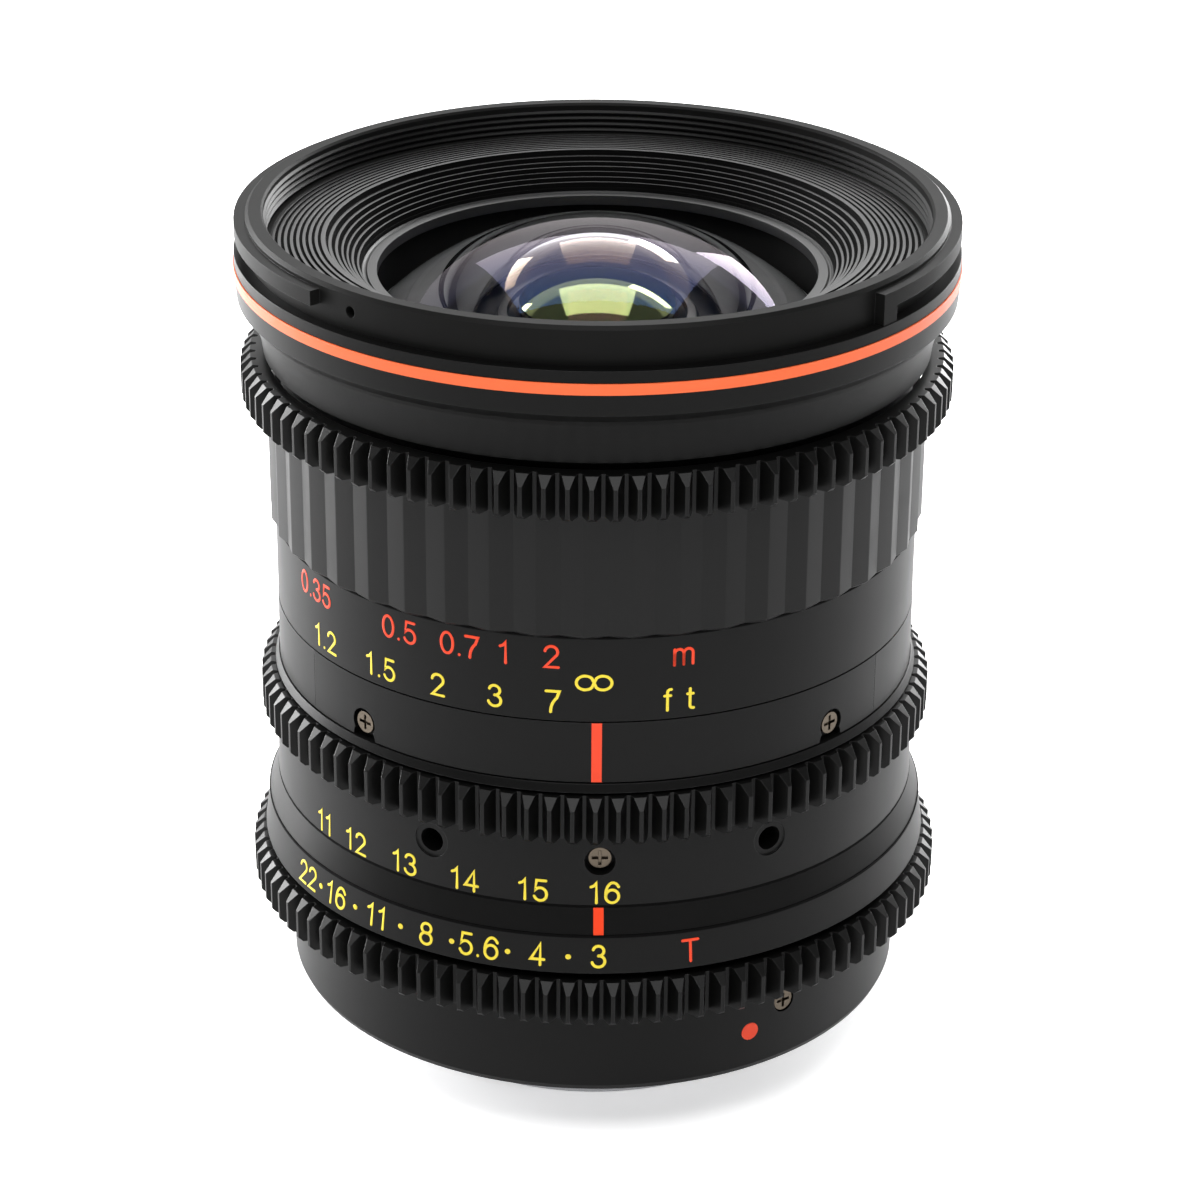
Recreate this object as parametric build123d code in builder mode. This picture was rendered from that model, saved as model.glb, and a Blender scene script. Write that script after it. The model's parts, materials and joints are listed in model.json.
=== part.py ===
from build123d import *
import os
from math import asin, atan2, copysign, cos, degrees, hypot, pi, radians, sin, sqrt, tan

# Wide-angle cinema zoom lens, standing on its rear bayonet with the front glass up.
# Lengths are millimetres, +Z is the optical axis towards the subject, and z = 0 is the
# rear edge of the bayonet. Angles are degrees round the axis, 0 at the index line (-Y),
# growing anticlockwise as seen from the front of the lens.

# Clearances
run = 0.1              # radial clearance of rings that turn or slide on each other
seat = 0.05            # radial clearance of pieces that are fixed together
gap = 0.15             # axial gap between a turning ring and its neighbour
open_gap = 0.4         # room round a moving piece that is not guided
overshoot = 1.0        # how far a cut starts outside the surface that it opens

# Throw of the three rings, and what they move
focus_throw = 66.0
zoom_throw = 57.8
aperture_throw = 58.2
focus_travel = 3.0     # rise of the focusing group at the closest distance
variator_travel = 4.6  # rise of the variator at the widest zoom
rear_travel = 4.5      # fall of the rear group at the widest zoom

# Bayonet and base
bayonet_height = 7.1
bayonet_bore_radius = 21.5
bayonet_radius = 25.3
bayonet_tab_radius = 27.1
bayonet_tab_low = 1.6
bayonet_tab_height = 1.4
bayonet_tab_angle = 58.0
bayonet_tab_end = -22.7
flange_radius = 32.8
flange_thickness = 1.3
baffle_thickness = 1.3
baffle_window = (29.0, 20.0, 3.0)
base_radius = 37.0
base_height = 10.8
base_wall = 3.2
base_web = 1.6
base_bevel = 0.3
base_screw_angle = 37.1
base_screw_height = 7.1
index_dot_angle = 29.7
index_dot_height = 4.45
index_dot_radius = 1.1
index_dot_depth = 0.5
lock_hole_angle = -105.0
lock_hole_radius = 1.2
lock_hole_depth = 0.8

# Guide tube
guide_bore_radius = 26.2
guide_wall = 2.0
guide_flange = 2.0
guide_top = 79.0
roller_radius = 1.5
roller_fit = 0.08
roller_shank_radius = 0.9
roller_shank_depth = 3.0
roller_angle = 90.0

# Gear rings on the three scales
gear_module = 0.8
pressure_angle = 20.0
focus_gear_rim = 2.8   # metal between a gear's seat and the foot of its teeth
zoom_gear_rim = 1.7
aperture_gear_rim = 2.4
focus_gear_phase = -0.65
zoom_gear_phase = 0.26
aperture_gear_phase = -0.3
gear_face = 5.6
gear_chamfer = 1.1
gear_low_chamfer = 0.5

# Aperture ring and its index
ring_bearing_step = 0.65      # how much wider the bearing is than the zoom sleeve's bore
ring_bearing_wall = 2.25
aperture_ring_wall = 3.65     # under the gear
aperture_scale_wall = 6.35    # at the foot of the scale
aperture_scale_taper = 0.6
aperture_scale_height = 4.4
index_ring_height = 3.05

# Zoom ring
zoom_ring_wall = 1.5          # under the gear
zoom_scale_wall = 3.35        # at the foot of the scale
zoom_scale_taper = 0.25
zoom_scale_height = 8.7
zoom_ledge_height = 0.95
zoom_ledge_wall = 1.8         # outside the gear's seat
zoom_ledge_taper = 0.4
key_room = 2.8                # between the cam barrel and the zoom sleeve
sleeve_wall = 1.9
lever_height = 5.65
lever_angles = (-28.7, 31.5)
lever_hole_radius = 1.45
lever_rim_radius = 2.1
lever_rim_depth = 0.35
key_angle = 1.1
key_width = 5.0
key_height = 3.6
key_screw_recess = 1.75
key_screw_sink = 1.0

# Cam barrel
cam_wall = 1.8
cam_low = 26.5
cam_top = 56.2
slot_end_relief = 0.03

# Centre barrel and the plate with the focus index
centre_height = 7.35
centre_wall = 2.85
plate_angle = 58.2
plate_end_gap = 0.1
plate_thickness = 0.85
plate_screw_angles = (-43.7, 45.2)
plate_screw_height = 1.9
plate_notch_radius = 1.75

# Focus ring
helicoid_room = 3.2           # between the cam radius and the focus ring's bore
focus_wall = 3.2
scale_wall = 1.1
scale_height = 10.2
grip_wall = 2.0
grip_height = 14.9
grip_flute_depth = 0.42
grip_flutes = 51
helicoid_low = 57.6
helicoid_height = 16.4
helicoid_flange = 2.0

# Front barrel, rim and baffle
neck_low = 75.0
barrel_lip = 2.0              # rim inside the barrel that the cell stands in
barrel_lip_reach = 0.8
cone_height = 4.9
flare_depth = 0.31
groove_taper = 0.35
band_bevel = 1.0
band_lip = 0.15
band_shoulder = 1.4           # how far the band stands out from the flare and from the rim
band_low = 93.5
band_top = 98.6
red_ring_low = 95.9
red_ring_height = 1.35
red_ring_depth = 0.8
red_ring_proud = 0.12
rim_height = 4.4
rim_wall = 2.05               # outside the thread
rim_bevel = 0.4
filter_thread_depth = 3.7     # from the rim's top to the baffle
filter_thread_length = 2.7    # from the rim's top to the relief under the thread
thread_relief = 0.55
thread_chamfer = 0.25
lug_reach = 1.3
lug_root = 0.5
lug_low = 1.9
lug_height = 1.7
lug_angle = 84.0
lug_stop_angle = 3.2
rim_hole_angle = -41.0
rim_hole_radius = 0.65
rim_hole_depth = 1.2
thread_step = 0.85            # between the thread and the baffle's edge
baffle_flat = 5.7             # width of the flat ring round the ridges
baffle_rim = 1.6
baffle_body_step = 2.2
baffle_floor = 1.2
baffle_overhang = 1.3         # how far the floor reaches over the front glass
ridge_count = 8
ridge_width = 4.3
ridge_drop = 3.5
ridge_dip = 0.2
ridge_slope = 0.55
baffle_notch_angle = 28.5
baffle_notch_width = 0.8
baffle_notch_depth = 1.3
baffle_notch_drop = 0.6

# Glass: radius, curve of the upper and lower face, height of the two vertices
front_glass_radius = 26.6
front_curve = 36.4
front_vertex = 100.0
front_back_curve = 21.0
front_back_radius = 18.4
front_centre_thickness = 3.0
glass_margin = 0.6            # between the glass and the foot of the ridges
cell_low_step = 2.0
cell_spigot_gap = 0.3
cell_neck_radius = 30.0
cell_slope_height = 2.0
cell_flange_step = 1.3
glass_rings = 5               # cones that stand for the curve of an inner lens face
second_glass = (18.0, 70.0, 26.0, 87.6, 85.4)
focus_glass = (15.0, 48.0, -38.0, 68.2, 60.2)
variator_glass = (15.0, 34.0, -52.0, 51.8, 43.6)
relay_glass = (14.0, 30.0, -40.0, 37.6, 31.6)
rear_glass = (12.0, 60.0, -32.0, 21.8, 15.6)

# Groups that slide
variator_low = 42.0
variator_height = 10.4
focus_cell_low = 58.4
focus_cell_height = 10.6

# Iris, measured from the floor of its housing
blade_count = 9
blade_thickness = 0.09
blade_pitch = 0.15
blade_inner_radius = 8.6
blade_outer_radius = 12.8
blade_span = (4.0, 110.0)
blade_swing = 30.2
pivot_circle = 14.2
pivot_radius = 0.5
pivot_lug_radius = 1.3
drive_circle = 13.3
drive_angle = 18.0
drive_radius = 0.35
drive_lug_radius = 0.8
pin_fit = 0.06
drive_fit = 0.12
pin_end_gap = 0.2
tail_overlap = 1.6
tail_lean = 0.6
blade_round = 1.2
iris_floor = 1.2
iris_ring_radius = 17.4
iris_ring_thickness = 1.0
iris_wall = 1.3
iris_ring_bore_step = 0.2
retainer_thickness = 1.0

# Ledge that a glass rests on
seat_width = 1.2

# Rear group
rear_low = 13.4
rear_top = 38.5
rear_land_low = 3.1
rear_land_top = 4.5
rear_tube_radius = 24.0
rear_tube_bore = 22.2
rear_lip_bore = 18.5
rear_lip = 1.6
rear_cell_radius = 20.0
rear_cell_gap = 1.0
iris_seat = 25.0
link_angle = 120.0
link_bar_width = 3.0
link_bar_thickness = 1.2
link_bar_overrun = 1.0
link_bar_cap = 0.4
link_arm_width = 3.0
link_arm_height = 1.2
link_arm_step = 0.6
link_arm_hold = 1.4
fork_width = 9.0
fork_depth = 0.3
link_window_margin = 6.0
fork_window_margin = 15.0

# Small screws
screw_head_radius = 1.3
screw_head_height = 0.7
screw_shank_radius = 0.75
screw_hold = 1.1         # how deep a side screw goes into what it holds
screw_cross_width = 0.35
screw_cross_depth = 0.35
screw_cross_share = 0.7
mount_screw_circle = 29.2
mount_screw_count = 4
mount_screw_start = 45.0
mount_screw_head = 1.7
mount_screw_shank = 0.8
mount_screw_length = 3.0

# Radii worked out from the values above, from the axis outwards
guide_radius = guide_bore_radius + guide_wall
cell_radius = guide_bore_radius - run
cam_bore_radius = guide_radius + 2 * run
cam_radius = cam_bore_radius + cam_wall
sleeve_bore_radius = cam_radius + key_room
sleeve_radius = sleeve_bore_radius + sleeve_wall
centre_radius = sleeve_radius + centre_wall
ring_bearing_radius = sleeve_bore_radius + ring_bearing_step
aperture_gear_seat = ring_bearing_radius + run + aperture_ring_wall
aperture_ring_low_radius = ring_bearing_radius + run + aperture_scale_wall
aperture_ring_top_radius = aperture_ring_low_radius - aperture_scale_taper
index_ring_bore = cam_radius + open_gap + run
zoom_gear_seat = sleeve_radius + run + zoom_ring_wall
zoom_ring_radius = sleeve_radius + run + zoom_scale_wall
zoom_ledge_radius = zoom_gear_seat + zoom_ledge_wall
key_screw_radius = zoom_ring_radius - key_screw_sink
focus_bore_radius = cam_radius + helicoid_room
neck_radius = focus_bore_radius - run
focus_seat_radius = focus_bore_radius + focus_wall
scale_radius = focus_seat_radius + scale_wall
grip_radius = focus_seat_radius + grip_wall
cone_radius = grip_radius
ridge_inner_radius = front_glass_radius + glass_margin
ridge_outer_radius = ridge_inner_radius + ridge_width
baffle_ring_radius = ridge_outer_radius + baffle_flat
baffle_bore = front_glass_radius - baffle_overhang
filter_thread_radius = baffle_ring_radius + thread_step
rim_radius = filter_thread_radius + rim_wall
lug_radius = rim_radius + lug_reach
band_radius = rim_radius + band_shoulder
cell_flange_radius = baffle_ring_radius - cell_flange_step
cell_spigot_radius = guide_bore_radius - cell_spigot_gap
link_bar_outer = guide_bore_radius - open_gap
link_bar_inner = link_bar_outer - link_bar_thickness
slot_half_width = roller_radius + roller_fit
plate_screw_radius = centre_radius - plate_thickness - seat + screw_head_height

# Heights worked out from the values above
flange_top = bayonet_height + flange_thickness
base_top = flange_top + base_height
web_low = flange_top + guide_flange
web_top = web_low + base_web
gear_low = base_top + 2 * gap
gear_top = gear_low + gear_face
aperture_top = gear_top + gap + aperture_scale_height
index_low = aperture_top + gap
index_top = index_low + index_ring_height
zoom_low = index_top + gap
zoom_gear_low = zoom_low + zoom_scale_height
zoom_gear_top = zoom_gear_low + gear_face
zoom_top = zoom_gear_top + zoom_ledge_height
centre_low = zoom_top + gap
centre_top = centre_low + centre_height
focus_low = centre_top + gap
grip_low = focus_low + scale_height
grip_top = grip_low + grip_height
focus_gear_low = grip_top + gap
focus_gear_top = focus_gear_low + gear_face
cone_low = focus_gear_top + 2 * gap
rim_top = band_top + rim_height
lever_level = zoom_low + lever_height
helicoid_top = helicoid_low + helicoid_height
helicoid_flange_low = helicoid_top - helicoid_flange
baffle_face = rim_top - filter_thread_depth
baffle_low = baffle_face - ridge_drop - ridge_drop / ridge_count
lip_top = guide_top + barrel_lip
cell_slope_top = cone_low + cell_slope_height
rear_roller_level = rear_top - rear_land_top / 2
variator_top = variator_low + variator_height
variator_roller_level = (variator_low + variator_top) / 2
focus_cell_top = focus_cell_low + focus_cell_height
focus_roller_level = (focus_cell_low + focus_cell_top) / 2
stack_low = iris_seat + iris_floor + seat
iris_ring_low = stack_low + blade_count * blade_pitch + gap
iris_ring_top = iris_ring_low + iris_ring_thickness
relay_low = iris_ring_top + gap + retainer_thickness
link_bar_low = iris_ring_low - rear_travel - link_bar_overrun
link_bar_top = iris_ring_top + link_bar_cap
link_arm_low = link_bar_low + link_arm_step


# Helpers

def polar(radius, angle):
    """Point on the plane across the axis, at an angle from the index line."""
    return radius * sin(radians(angle)), -radius * cos(radians(angle))


def facing(angle, height, radius):
    """Plane on the side of the lens: x runs round it, y runs up, z points out."""
    x, y = polar(1, angle)
    return Plane(origin=(radius * x, radius * y, height), x_dir=(-y, x, 0), z_dir=(x, y, 0))


def around(angle, count=3):
    return [angle + 360 * turn_number / count for turn_number in range(count)]


def turn(*outline, mode=Mode.ADD, start=0, arc=360):
    """Revolve a closed outline of (radius, height) points from start through arc."""
    with BuildSketch(Plane.XZ.rotated((0, 0, start - 90)) if arc < 360 else Plane.XZ) as section:
        with BuildLine():
            Polyline(*outline, close=True)
        make_face()
    revolve(section.sketch, axis=Axis.Z, revolution_arc=arc, mode=mode)


def tube(inner, outer, low, high, mode=Mode.ADD, start=0, arc=360):
    turn((inner, low), (outer, low), (outer, high), (inner, high), mode=mode, start=start, arc=arc)


def radial_hole(angle, height, radius, hole_radius, depth):
    with Locations(facing(angle, height, radius)):
        Cylinder(hole_radius, depth, align=(Align.CENTER, Align.CENTER, Align.MAX), mode=Mode.SUBTRACT)


def window(inner, outer, low, high, start, arc):
    tube(inner - overshoot, outer + overshoot, low, high, mode=Mode.SUBTRACT, start=start, arc=arc)


def gear(seat_radius, rim, low, high, phase):
    """Ring of straight teeth with flat tips and chamfered ends; the tooth count follows its size."""
    teeth = round(2 * (seat_radius + rim) / gear_module + 2.5)
    tip = gear_module * (teeth + 2) / 2
    root = gear_module * (teeth - 2.5) / 2
    rings = ((low, tip - gear_low_chamfer), (low + gear_low_chamfer, tip), (high - gear_chamfer, tip),
             (high, tip - gear_chamfer))
    for lower, upper in zip(rings, rings[1:]):
        sections = []
        for level, reach in (lower, upper):
            with BuildSketch(Plane.XY.offset(level)) as outline:
                RegularPolygon(reach, teeth, major_radius=False, rotation=phase - 90 + 180 / teeth)
            sections.append(outline.sketch)
        loft(sections, ruled=True)
    with Locations((0, 0, low)):
        Cylinder(seat_radius + seat, high - low, align=(Align.CENTER, Align.CENTER, Align.MIN),
                 mode=Mode.SUBTRACT)
    half_pitch_gap = pi * gear_module / 4
    slope = tan(radians(pressure_angle))
    outside = tip + gear_module / 4
    half_root_gap = half_pitch_gap - (gear_module * teeth / 2 - root) * slope
    half_outer_gap = half_pitch_gap + (outside - gear_module * teeth / 2) * slope
    with BuildSketch(Plane.XY.offset(low)) as spaces:
        with PolarLocations(0, teeth, start_angle=phase - 90 + 180 / teeth):
            Polygon((root, -half_root_gap), (outside, -half_outer_gap), (outside, half_outer_gap),
                    (root, half_root_gap), align=None)
    extrude(spaces.sketch, amount=high - low, mode=Mode.SUBTRACT)


def cap(radius, curve, vertex):
    """Arc of a lens face from the axis out to radius; curve is negative for a bowl below."""
    reach = asin(radius / abs(curve))
    size = abs(curve)
    side = copysign(1, curve)
    middle = (size * sin(reach / 2), vertex - side * size * (1 - cos(reach / 2)))
    return ThreePointArc((0, vertex), middle, (radius, vertex - side * size * (1 - cos(reach))))


def face_height(radius, curve, vertex):
    """Height of a lens face at a radius from the axis."""
    return vertex - copysign(abs(curve) - sqrt(curve ** 2 - radius ** 2), curve)


def inner_face(radius, curve, vertex):
    """Points of a hidden lens face from the axis out, a few cones in place of its curve."""
    shares = [number / glass_rings for number in range(glass_rings + 1)]
    return [(radius * share, face_height(radius * share, curve, vertex)) for share in shares]


def glass(radius, upper_curve, lower_curve, upper_vertex, lower_vertex):
    turn(*inner_face(radius, upper_curve, upper_vertex),
         *reversed(inner_face(radius, lower_curve, lower_vertex)))


def glass_seat(sizes):
    """Bore and seat points that hold a glass from below, from the outside in."""
    radius, _, lower_curve, _, lower_vertex = sizes
    (foot_radius, foot_height), (_, edge_height) = inner_face(radius, lower_curve, lower_vertex)[-2:]
    slope = (edge_height - foot_height) / (radius - foot_radius)
    return ((radius + seat, edge_height - seat),
            (radius - seat_width, edge_height - slope * seat_width - seat))


def helical_slot(angle, height, sweep_angle, rise, inner, outer):
    """Slot through a tube wall that climbs or falls as it runs round, with round ends."""
    start, low = (angle, height) if rise > 0 else (angle + sweep_angle, height + rise)
    pitch = abs(rise) * 360 / abs(sweep_angle)
    lefthand = (sweep_angle > 0) != (rise > 0)
    path = Edge.make_helix(pitch, abs(rise), (inner + outer) / 2, lefthand=lefthand)
    path = path.moved(Location((0, 0, low), (0, 0, start - 90)))
    with BuildSketch(Plane(origin=path @ 0, x_dir=(*polar(1, start), 0), z_dir=path % 0)) as section:
        Rectangle(outer - inner + 2 * overshoot, 2 * slot_half_width)
    sweep(section.sketch, path=path, is_frenet=True, mode=Mode.SUBTRACT)
    for end_angle, end_height in ((angle, height), (angle + sweep_angle, height + rise)):
        radial_hole(end_angle, end_height, outer + overshoot, slot_half_width + slot_end_relief,
                    outer - inner + 2 * overshoot)


def straight_slot(angle, low, high, inner, outer):
    """Guide slot along the axis for a roller that travels from low to high."""
    with BuildSketch(facing(angle, (low + high) / 2, outer + overshoot)) as slot:
        SlotCenterToCenter(high - low, 2 * slot_half_width, rotation=90)
    extrude(slot.sketch, amount=-(outer - inner + 2 * overshoot), mode=Mode.SUBTRACT)


def roller(angle, height):
    """Guide roller on its shank, pointing out from a lens cell to the outside of the cam."""
    outer = cam_radius - run
    with Locations(facing(angle, height, outer)):
        Cylinder(roller_radius, outer - cell_radius - run,
                 align=(Align.CENTER, Align.CENTER, Align.MAX))
        Cylinder(roller_shank_radius, outer - cell_radius + roller_shank_depth,
                 align=(Align.CENTER, Align.CENTER, Align.MAX))


def roller_holes(height):
    for angle in around(roller_angle):
        radial_hole(angle, height, cell_radius, roller_shank_radius + seat, roller_shank_depth + 2 * run)


def side_screw(angle, height, radius, held):
    """Cross-head screw driven in from radius towards the axis, into a wall that starts at held."""
    with Locations(facing(angle, height, radius)):
        Cylinder(screw_head_radius, screw_head_height, align=(Align.CENTER, Align.CENTER, Align.MAX))
        Cylinder(screw_shank_radius, radius - held + screw_hold,
                 align=(Align.CENTER, Align.CENTER, Align.MAX))
        cross_length = 2 * screw_head_radius * screw_cross_share
        Box(cross_length, screw_cross_width, 2 * screw_cross_depth, mode=Mode.SUBTRACT)
        Box(screw_cross_width, cross_length, 2 * screw_cross_depth, mode=Mode.SUBTRACT)


def screw_seat(angle, height, radius, recess, depth):
    """Recess and hole for a side screw whose head lies at radius, through a wall of a given depth."""
    radial_hole(angle, height, radius + overshoot, recess, overshoot + screw_head_height)
    radial_hole(angle, height, radius, screw_shank_radius + seat, depth)


def keep(piece, name):
    piece.part.label = name
    export_step(piece.part, f"parts/{name}.step")


os.makedirs("parts", exist_ok=True)


# Rear bayonet and base

with BuildPart() as bayonet_mount:
    turn((bayonet_bore_radius, 0), (bayonet_radius, 0), (bayonet_radius, bayonet_height),
         (flange_radius, bayonet_height), (flange_radius, flange_top), (bayonet_bore_radius, flange_top))
    for tab_end in around(bayonet_tab_end):
        tube(bayonet_bore_radius, bayonet_tab_radius, bayonet_tab_low,
             bayonet_tab_low + bayonet_tab_height, start=tab_end - bayonet_tab_angle,
             arc=bayonet_tab_angle)
    with Locations(Plane.XY.offset(bayonet_height).rotated((180, 0, 0))):
        with PolarLocations(mount_screw_circle, mount_screw_count, start_angle=mount_screw_start):
            CounterSinkHole(mount_screw_shank + seat, mount_screw_head + seat, depth=flange_thickness)
        with Locations(polar(mount_screw_circle, lock_hole_angle)):
            Hole(lock_hole_radius, depth=lock_hole_depth)
keep(bayonet_mount, "bayonet_mount")

with BuildPart() as mount_screws:
    with Locations(Plane.XY.offset(bayonet_height)):
        with PolarLocations(mount_screw_circle, mount_screw_count, start_angle=mount_screw_start):
            Cone(mount_screw_head, mount_screw_shank, mount_screw_head - mount_screw_shank,
                 align=(Align.CENTER, Align.CENTER, Align.MIN))
            Cylinder(mount_screw_shank, mount_screw_length, align=(Align.CENTER, Align.CENTER, Align.MIN))
keep(mount_screws, "mount_screws")

with BuildPart() as rear_baffle:
    width, depth, corner = baffle_window
    with BuildSketch(Plane.XY.offset(bayonet_height - baffle_thickness)):
        Circle(bayonet_bore_radius - seat)
        RectangleRounded(width, depth, corner, mode=Mode.SUBTRACT)
    extrude(amount=baffle_thickness)
keep(rear_baffle, "rear_baffle")

with BuildPart() as mount_cover:
    cover_low = flange_top - flange_thickness / 2
    turn((flange_radius + seat, cover_low), (base_radius - base_bevel, cover_low), (base_radius, flange_top),
         (base_radius, base_top), (base_radius - base_wall, base_top), (base_radius - base_wall, web_top),
         (guide_radius + seat, web_top), (guide_radius + seat, web_low), (flange_radius + seat, web_low))
    for angle in around(base_screw_angle):
        screw_seat(angle, flange_top + base_screw_height, base_radius - gap, screw_head_radius + gap,
                   base_wall)
    radial_hole(index_dot_angle, flange_top + index_dot_height, base_radius, index_dot_radius + seat,
                index_dot_depth)
keep(mount_cover, "mount_cover")

with BuildPart() as base_screws:
    for angle in around(base_screw_angle):
        side_screw(angle, flange_top + base_screw_height, base_radius - gap, ring_bearing_radius)
keep(base_screws, "base_screws")

with BuildPart() as mount_index:
    with Locations(facing(index_dot_angle, flange_top + index_dot_height, base_radius)):
        Cylinder(index_dot_radius, index_dot_depth, align=(Align.CENTER, Align.CENTER, Align.MAX))
keep(mount_index, "mount_index")

with BuildPart() as ring_bearing:
    turn((guide_radius + seat, web_top), (ring_bearing_radius, web_top), (ring_bearing_radius, index_low),
         (ring_bearing_radius - ring_bearing_wall, index_low),
         (ring_bearing_radius - ring_bearing_wall, web_top + base_web),
         (guide_radius + seat, web_top + base_web))
    window(ring_bearing_radius - ring_bearing_wall, ring_bearing_radius, link_arm_low - open_gap,
           link_arm_low + link_arm_height + open_gap, link_angle - link_window_margin,
           aperture_throw + 2 * link_window_margin)
    for angle in around(base_screw_angle):
        radial_hole(angle, flange_top + base_screw_height, ring_bearing_radius + overshoot,
                    screw_shank_radius + seat, overshoot + ring_bearing_wall)
keep(ring_bearing, "ring_bearing")

# Guide tube that carries every group

with BuildPart() as guide_tube:
    turn((guide_bore_radius, flange_top), (flange_radius, flange_top), (flange_radius, web_low),
         (guide_radius, web_low), (guide_radius, guide_top), (guide_bore_radius, guide_top))
    with Locations(Plane.XY.offset(flange_top)):
        with PolarLocations(mount_screw_circle, mount_screw_count, start_angle=mount_screw_start):
            Cylinder(mount_screw_shank + seat, 2 * mount_screw_length, mode=Mode.SUBTRACT)
    for angle in around(roller_angle):
        straight_slot(angle, rear_roller_level - rear_travel, rear_roller_level,
                      guide_bore_radius, guide_radius)
        straight_slot(angle, variator_roller_level, variator_roller_level + variator_travel,
                      guide_bore_radius, guide_radius)
        straight_slot(angle, focus_roller_level, focus_roller_level + focus_travel,
                      guide_bore_radius, guide_radius)
    window(guide_bore_radius, guide_radius, link_arm_low - open_gap,
           link_arm_low + link_arm_height + open_gap, link_angle - link_window_margin,
           aperture_throw + 2 * link_window_margin)
keep(guide_tube, "guide_tube")

# Aperture ring

with BuildPart() as aperture_ring:
    inner = ring_bearing_radius + run
    turn((inner, gear_low), (aperture_gear_seat, gear_low), (aperture_gear_seat, gear_top + gap),
         (aperture_ring_low_radius, gear_top + gap), (aperture_ring_top_radius, aperture_top),
         (inner, aperture_top))
    with Locations(facing(link_angle, link_arm_low + link_arm_height / 2, inner)):
        Box(link_arm_width + 2 * seat, link_arm_height + 2 * seat, 2 * (link_arm_hold + run),
            mode=Mode.SUBTRACT)
keep(aperture_ring, "aperture_ring")

with BuildPart() as aperture_gear:
    gear(aperture_gear_seat, aperture_gear_rim, gear_low, gear_top, aperture_gear_phase)
keep(aperture_gear, "aperture_gear")

with BuildPart() as aperture_link:
    with Locations(facing(link_angle, (link_bar_low + link_bar_top) / 2, link_bar_outer)):
        Box(link_bar_width, link_bar_top - link_bar_low, link_bar_thickness,
            align=(Align.CENTER, Align.CENTER, Align.MAX))
    with Locations(facing(link_angle, link_arm_low + link_arm_height / 2, link_bar_outer)):
        Box(link_arm_width, link_arm_height, ring_bearing_radius + run + link_arm_hold - link_bar_outer,
            align=(Align.CENTER, Align.CENTER, Align.MIN))
keep(aperture_link, "aperture_link")

with BuildPart() as index_ring:
    turn((index_ring_bore, index_low), (aperture_ring_top_radius, index_low),
         (zoom_ring_radius, index_top), (index_ring_bore, index_top))
keep(index_ring, "index_ring")

# Zoom ring, its fixed sleeve and the cam barrel

with BuildPart() as zoom_sleeve:
    tube(sleeve_bore_radius, sleeve_radius, index_top, centre_top)
    for angle in plate_screw_angles:
        radial_hole(angle, centre_low + plate_screw_height, sleeve_radius + overshoot,
                    screw_shank_radius + seat, sleeve_wall + 2 * overshoot)
    for angle in around(key_angle):
        margin = degrees((key_width / 2 + open_gap) / sleeve_bore_radius)
        window(sleeve_bore_radius, sleeve_radius, lever_level - key_height / 2 - open_gap,
               lever_level + key_height / 2 + open_gap, angle - margin, zoom_throw + 2 * margin)
keep(zoom_sleeve, "zoom_sleeve")

with BuildPart() as zoom_ring:
    inner = sleeve_radius + run
    turn((inner, zoom_low), (zoom_ring_radius, zoom_low),
         (zoom_ring_radius - zoom_scale_taper, zoom_gear_low - gap), (zoom_gear_seat, zoom_gear_low - gap),
         (zoom_gear_seat, zoom_gear_top), (zoom_ledge_radius, zoom_gear_top),
         (zoom_ledge_radius - zoom_ledge_taper, zoom_top), (inner, zoom_top))
    outside = zoom_ring_radius + overshoot
    for angle in lever_angles:
        radial_hole(angle, lever_level, outside, lever_hole_radius, outside - sleeve_radius)
        radial_hole(angle, lever_level, outside, lever_rim_radius, overshoot + lever_rim_depth)
    for angle in around(key_angle):
        screw_seat(angle, lever_level, key_screw_radius, key_screw_recess, zoom_scale_wall)
keep(zoom_ring, "zoom_ring")

with BuildPart() as zoom_gear:
    gear(zoom_gear_seat, zoom_gear_rim, zoom_gear_low, zoom_gear_top - seat, zoom_gear_phase)
keep(zoom_gear, "zoom_gear")

with BuildPart() as zoom_keys:
    for angle in around(key_angle):
        with Locations(facing(angle, lever_level, sleeve_radius - run)):
            Box(key_width, key_height, sleeve_radius - cam_bore_radius - 3 * run,
                align=(Align.CENTER, Align.CENTER, Align.MAX))
            Cylinder(screw_shank_radius + seat, screw_hold + run,
                     align=(Align.CENTER, Align.CENTER, Align.MAX), mode=Mode.SUBTRACT)
keep(zoom_keys, "zoom_keys")

with BuildPart() as zoom_screws:
    for angle in around(key_angle):
        side_screw(angle, lever_level, key_screw_radius, sleeve_radius - run)
keep(zoom_screws, "zoom_screws")

with BuildPart() as cam_barrel:
    tube(cam_bore_radius, cam_radius, cam_low, cam_top)
    for angle in around(roller_angle):
        helical_slot(angle, rear_roller_level, -zoom_throw, -rear_travel, cam_bore_radius, cam_radius)
        helical_slot(angle, variator_roller_level, -zoom_throw, variator_travel, cam_bore_radius,
                     cam_radius)
    for angle in around(key_angle):
        with Locations(facing(angle, lever_level, cam_radius)):
            Box(key_width + 2 * seat, key_height + 2 * seat, 2 * (cam_wall + overshoot),
                mode=Mode.SUBTRACT)
keep(cam_barrel, "cam_barrel")

# Centre barrel with the focus index plate

with BuildPart() as centre_barrel:
    tube(sleeve_radius + seat, centre_radius, centre_low, centre_top)
    tube(centre_radius - plate_thickness - seat, centre_radius + overshoot, centre_low, centre_top,
         mode=Mode.SUBTRACT, start=-plate_angle - plate_end_gap, arc=2 * (plate_angle + plate_end_gap))
    for angle in plate_screw_angles:
        radial_hole(angle, centre_low + plate_screw_height, centre_radius, screw_shank_radius + seat,
                    centre_wall + overshoot)
keep(centre_barrel, "centre_barrel")

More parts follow.
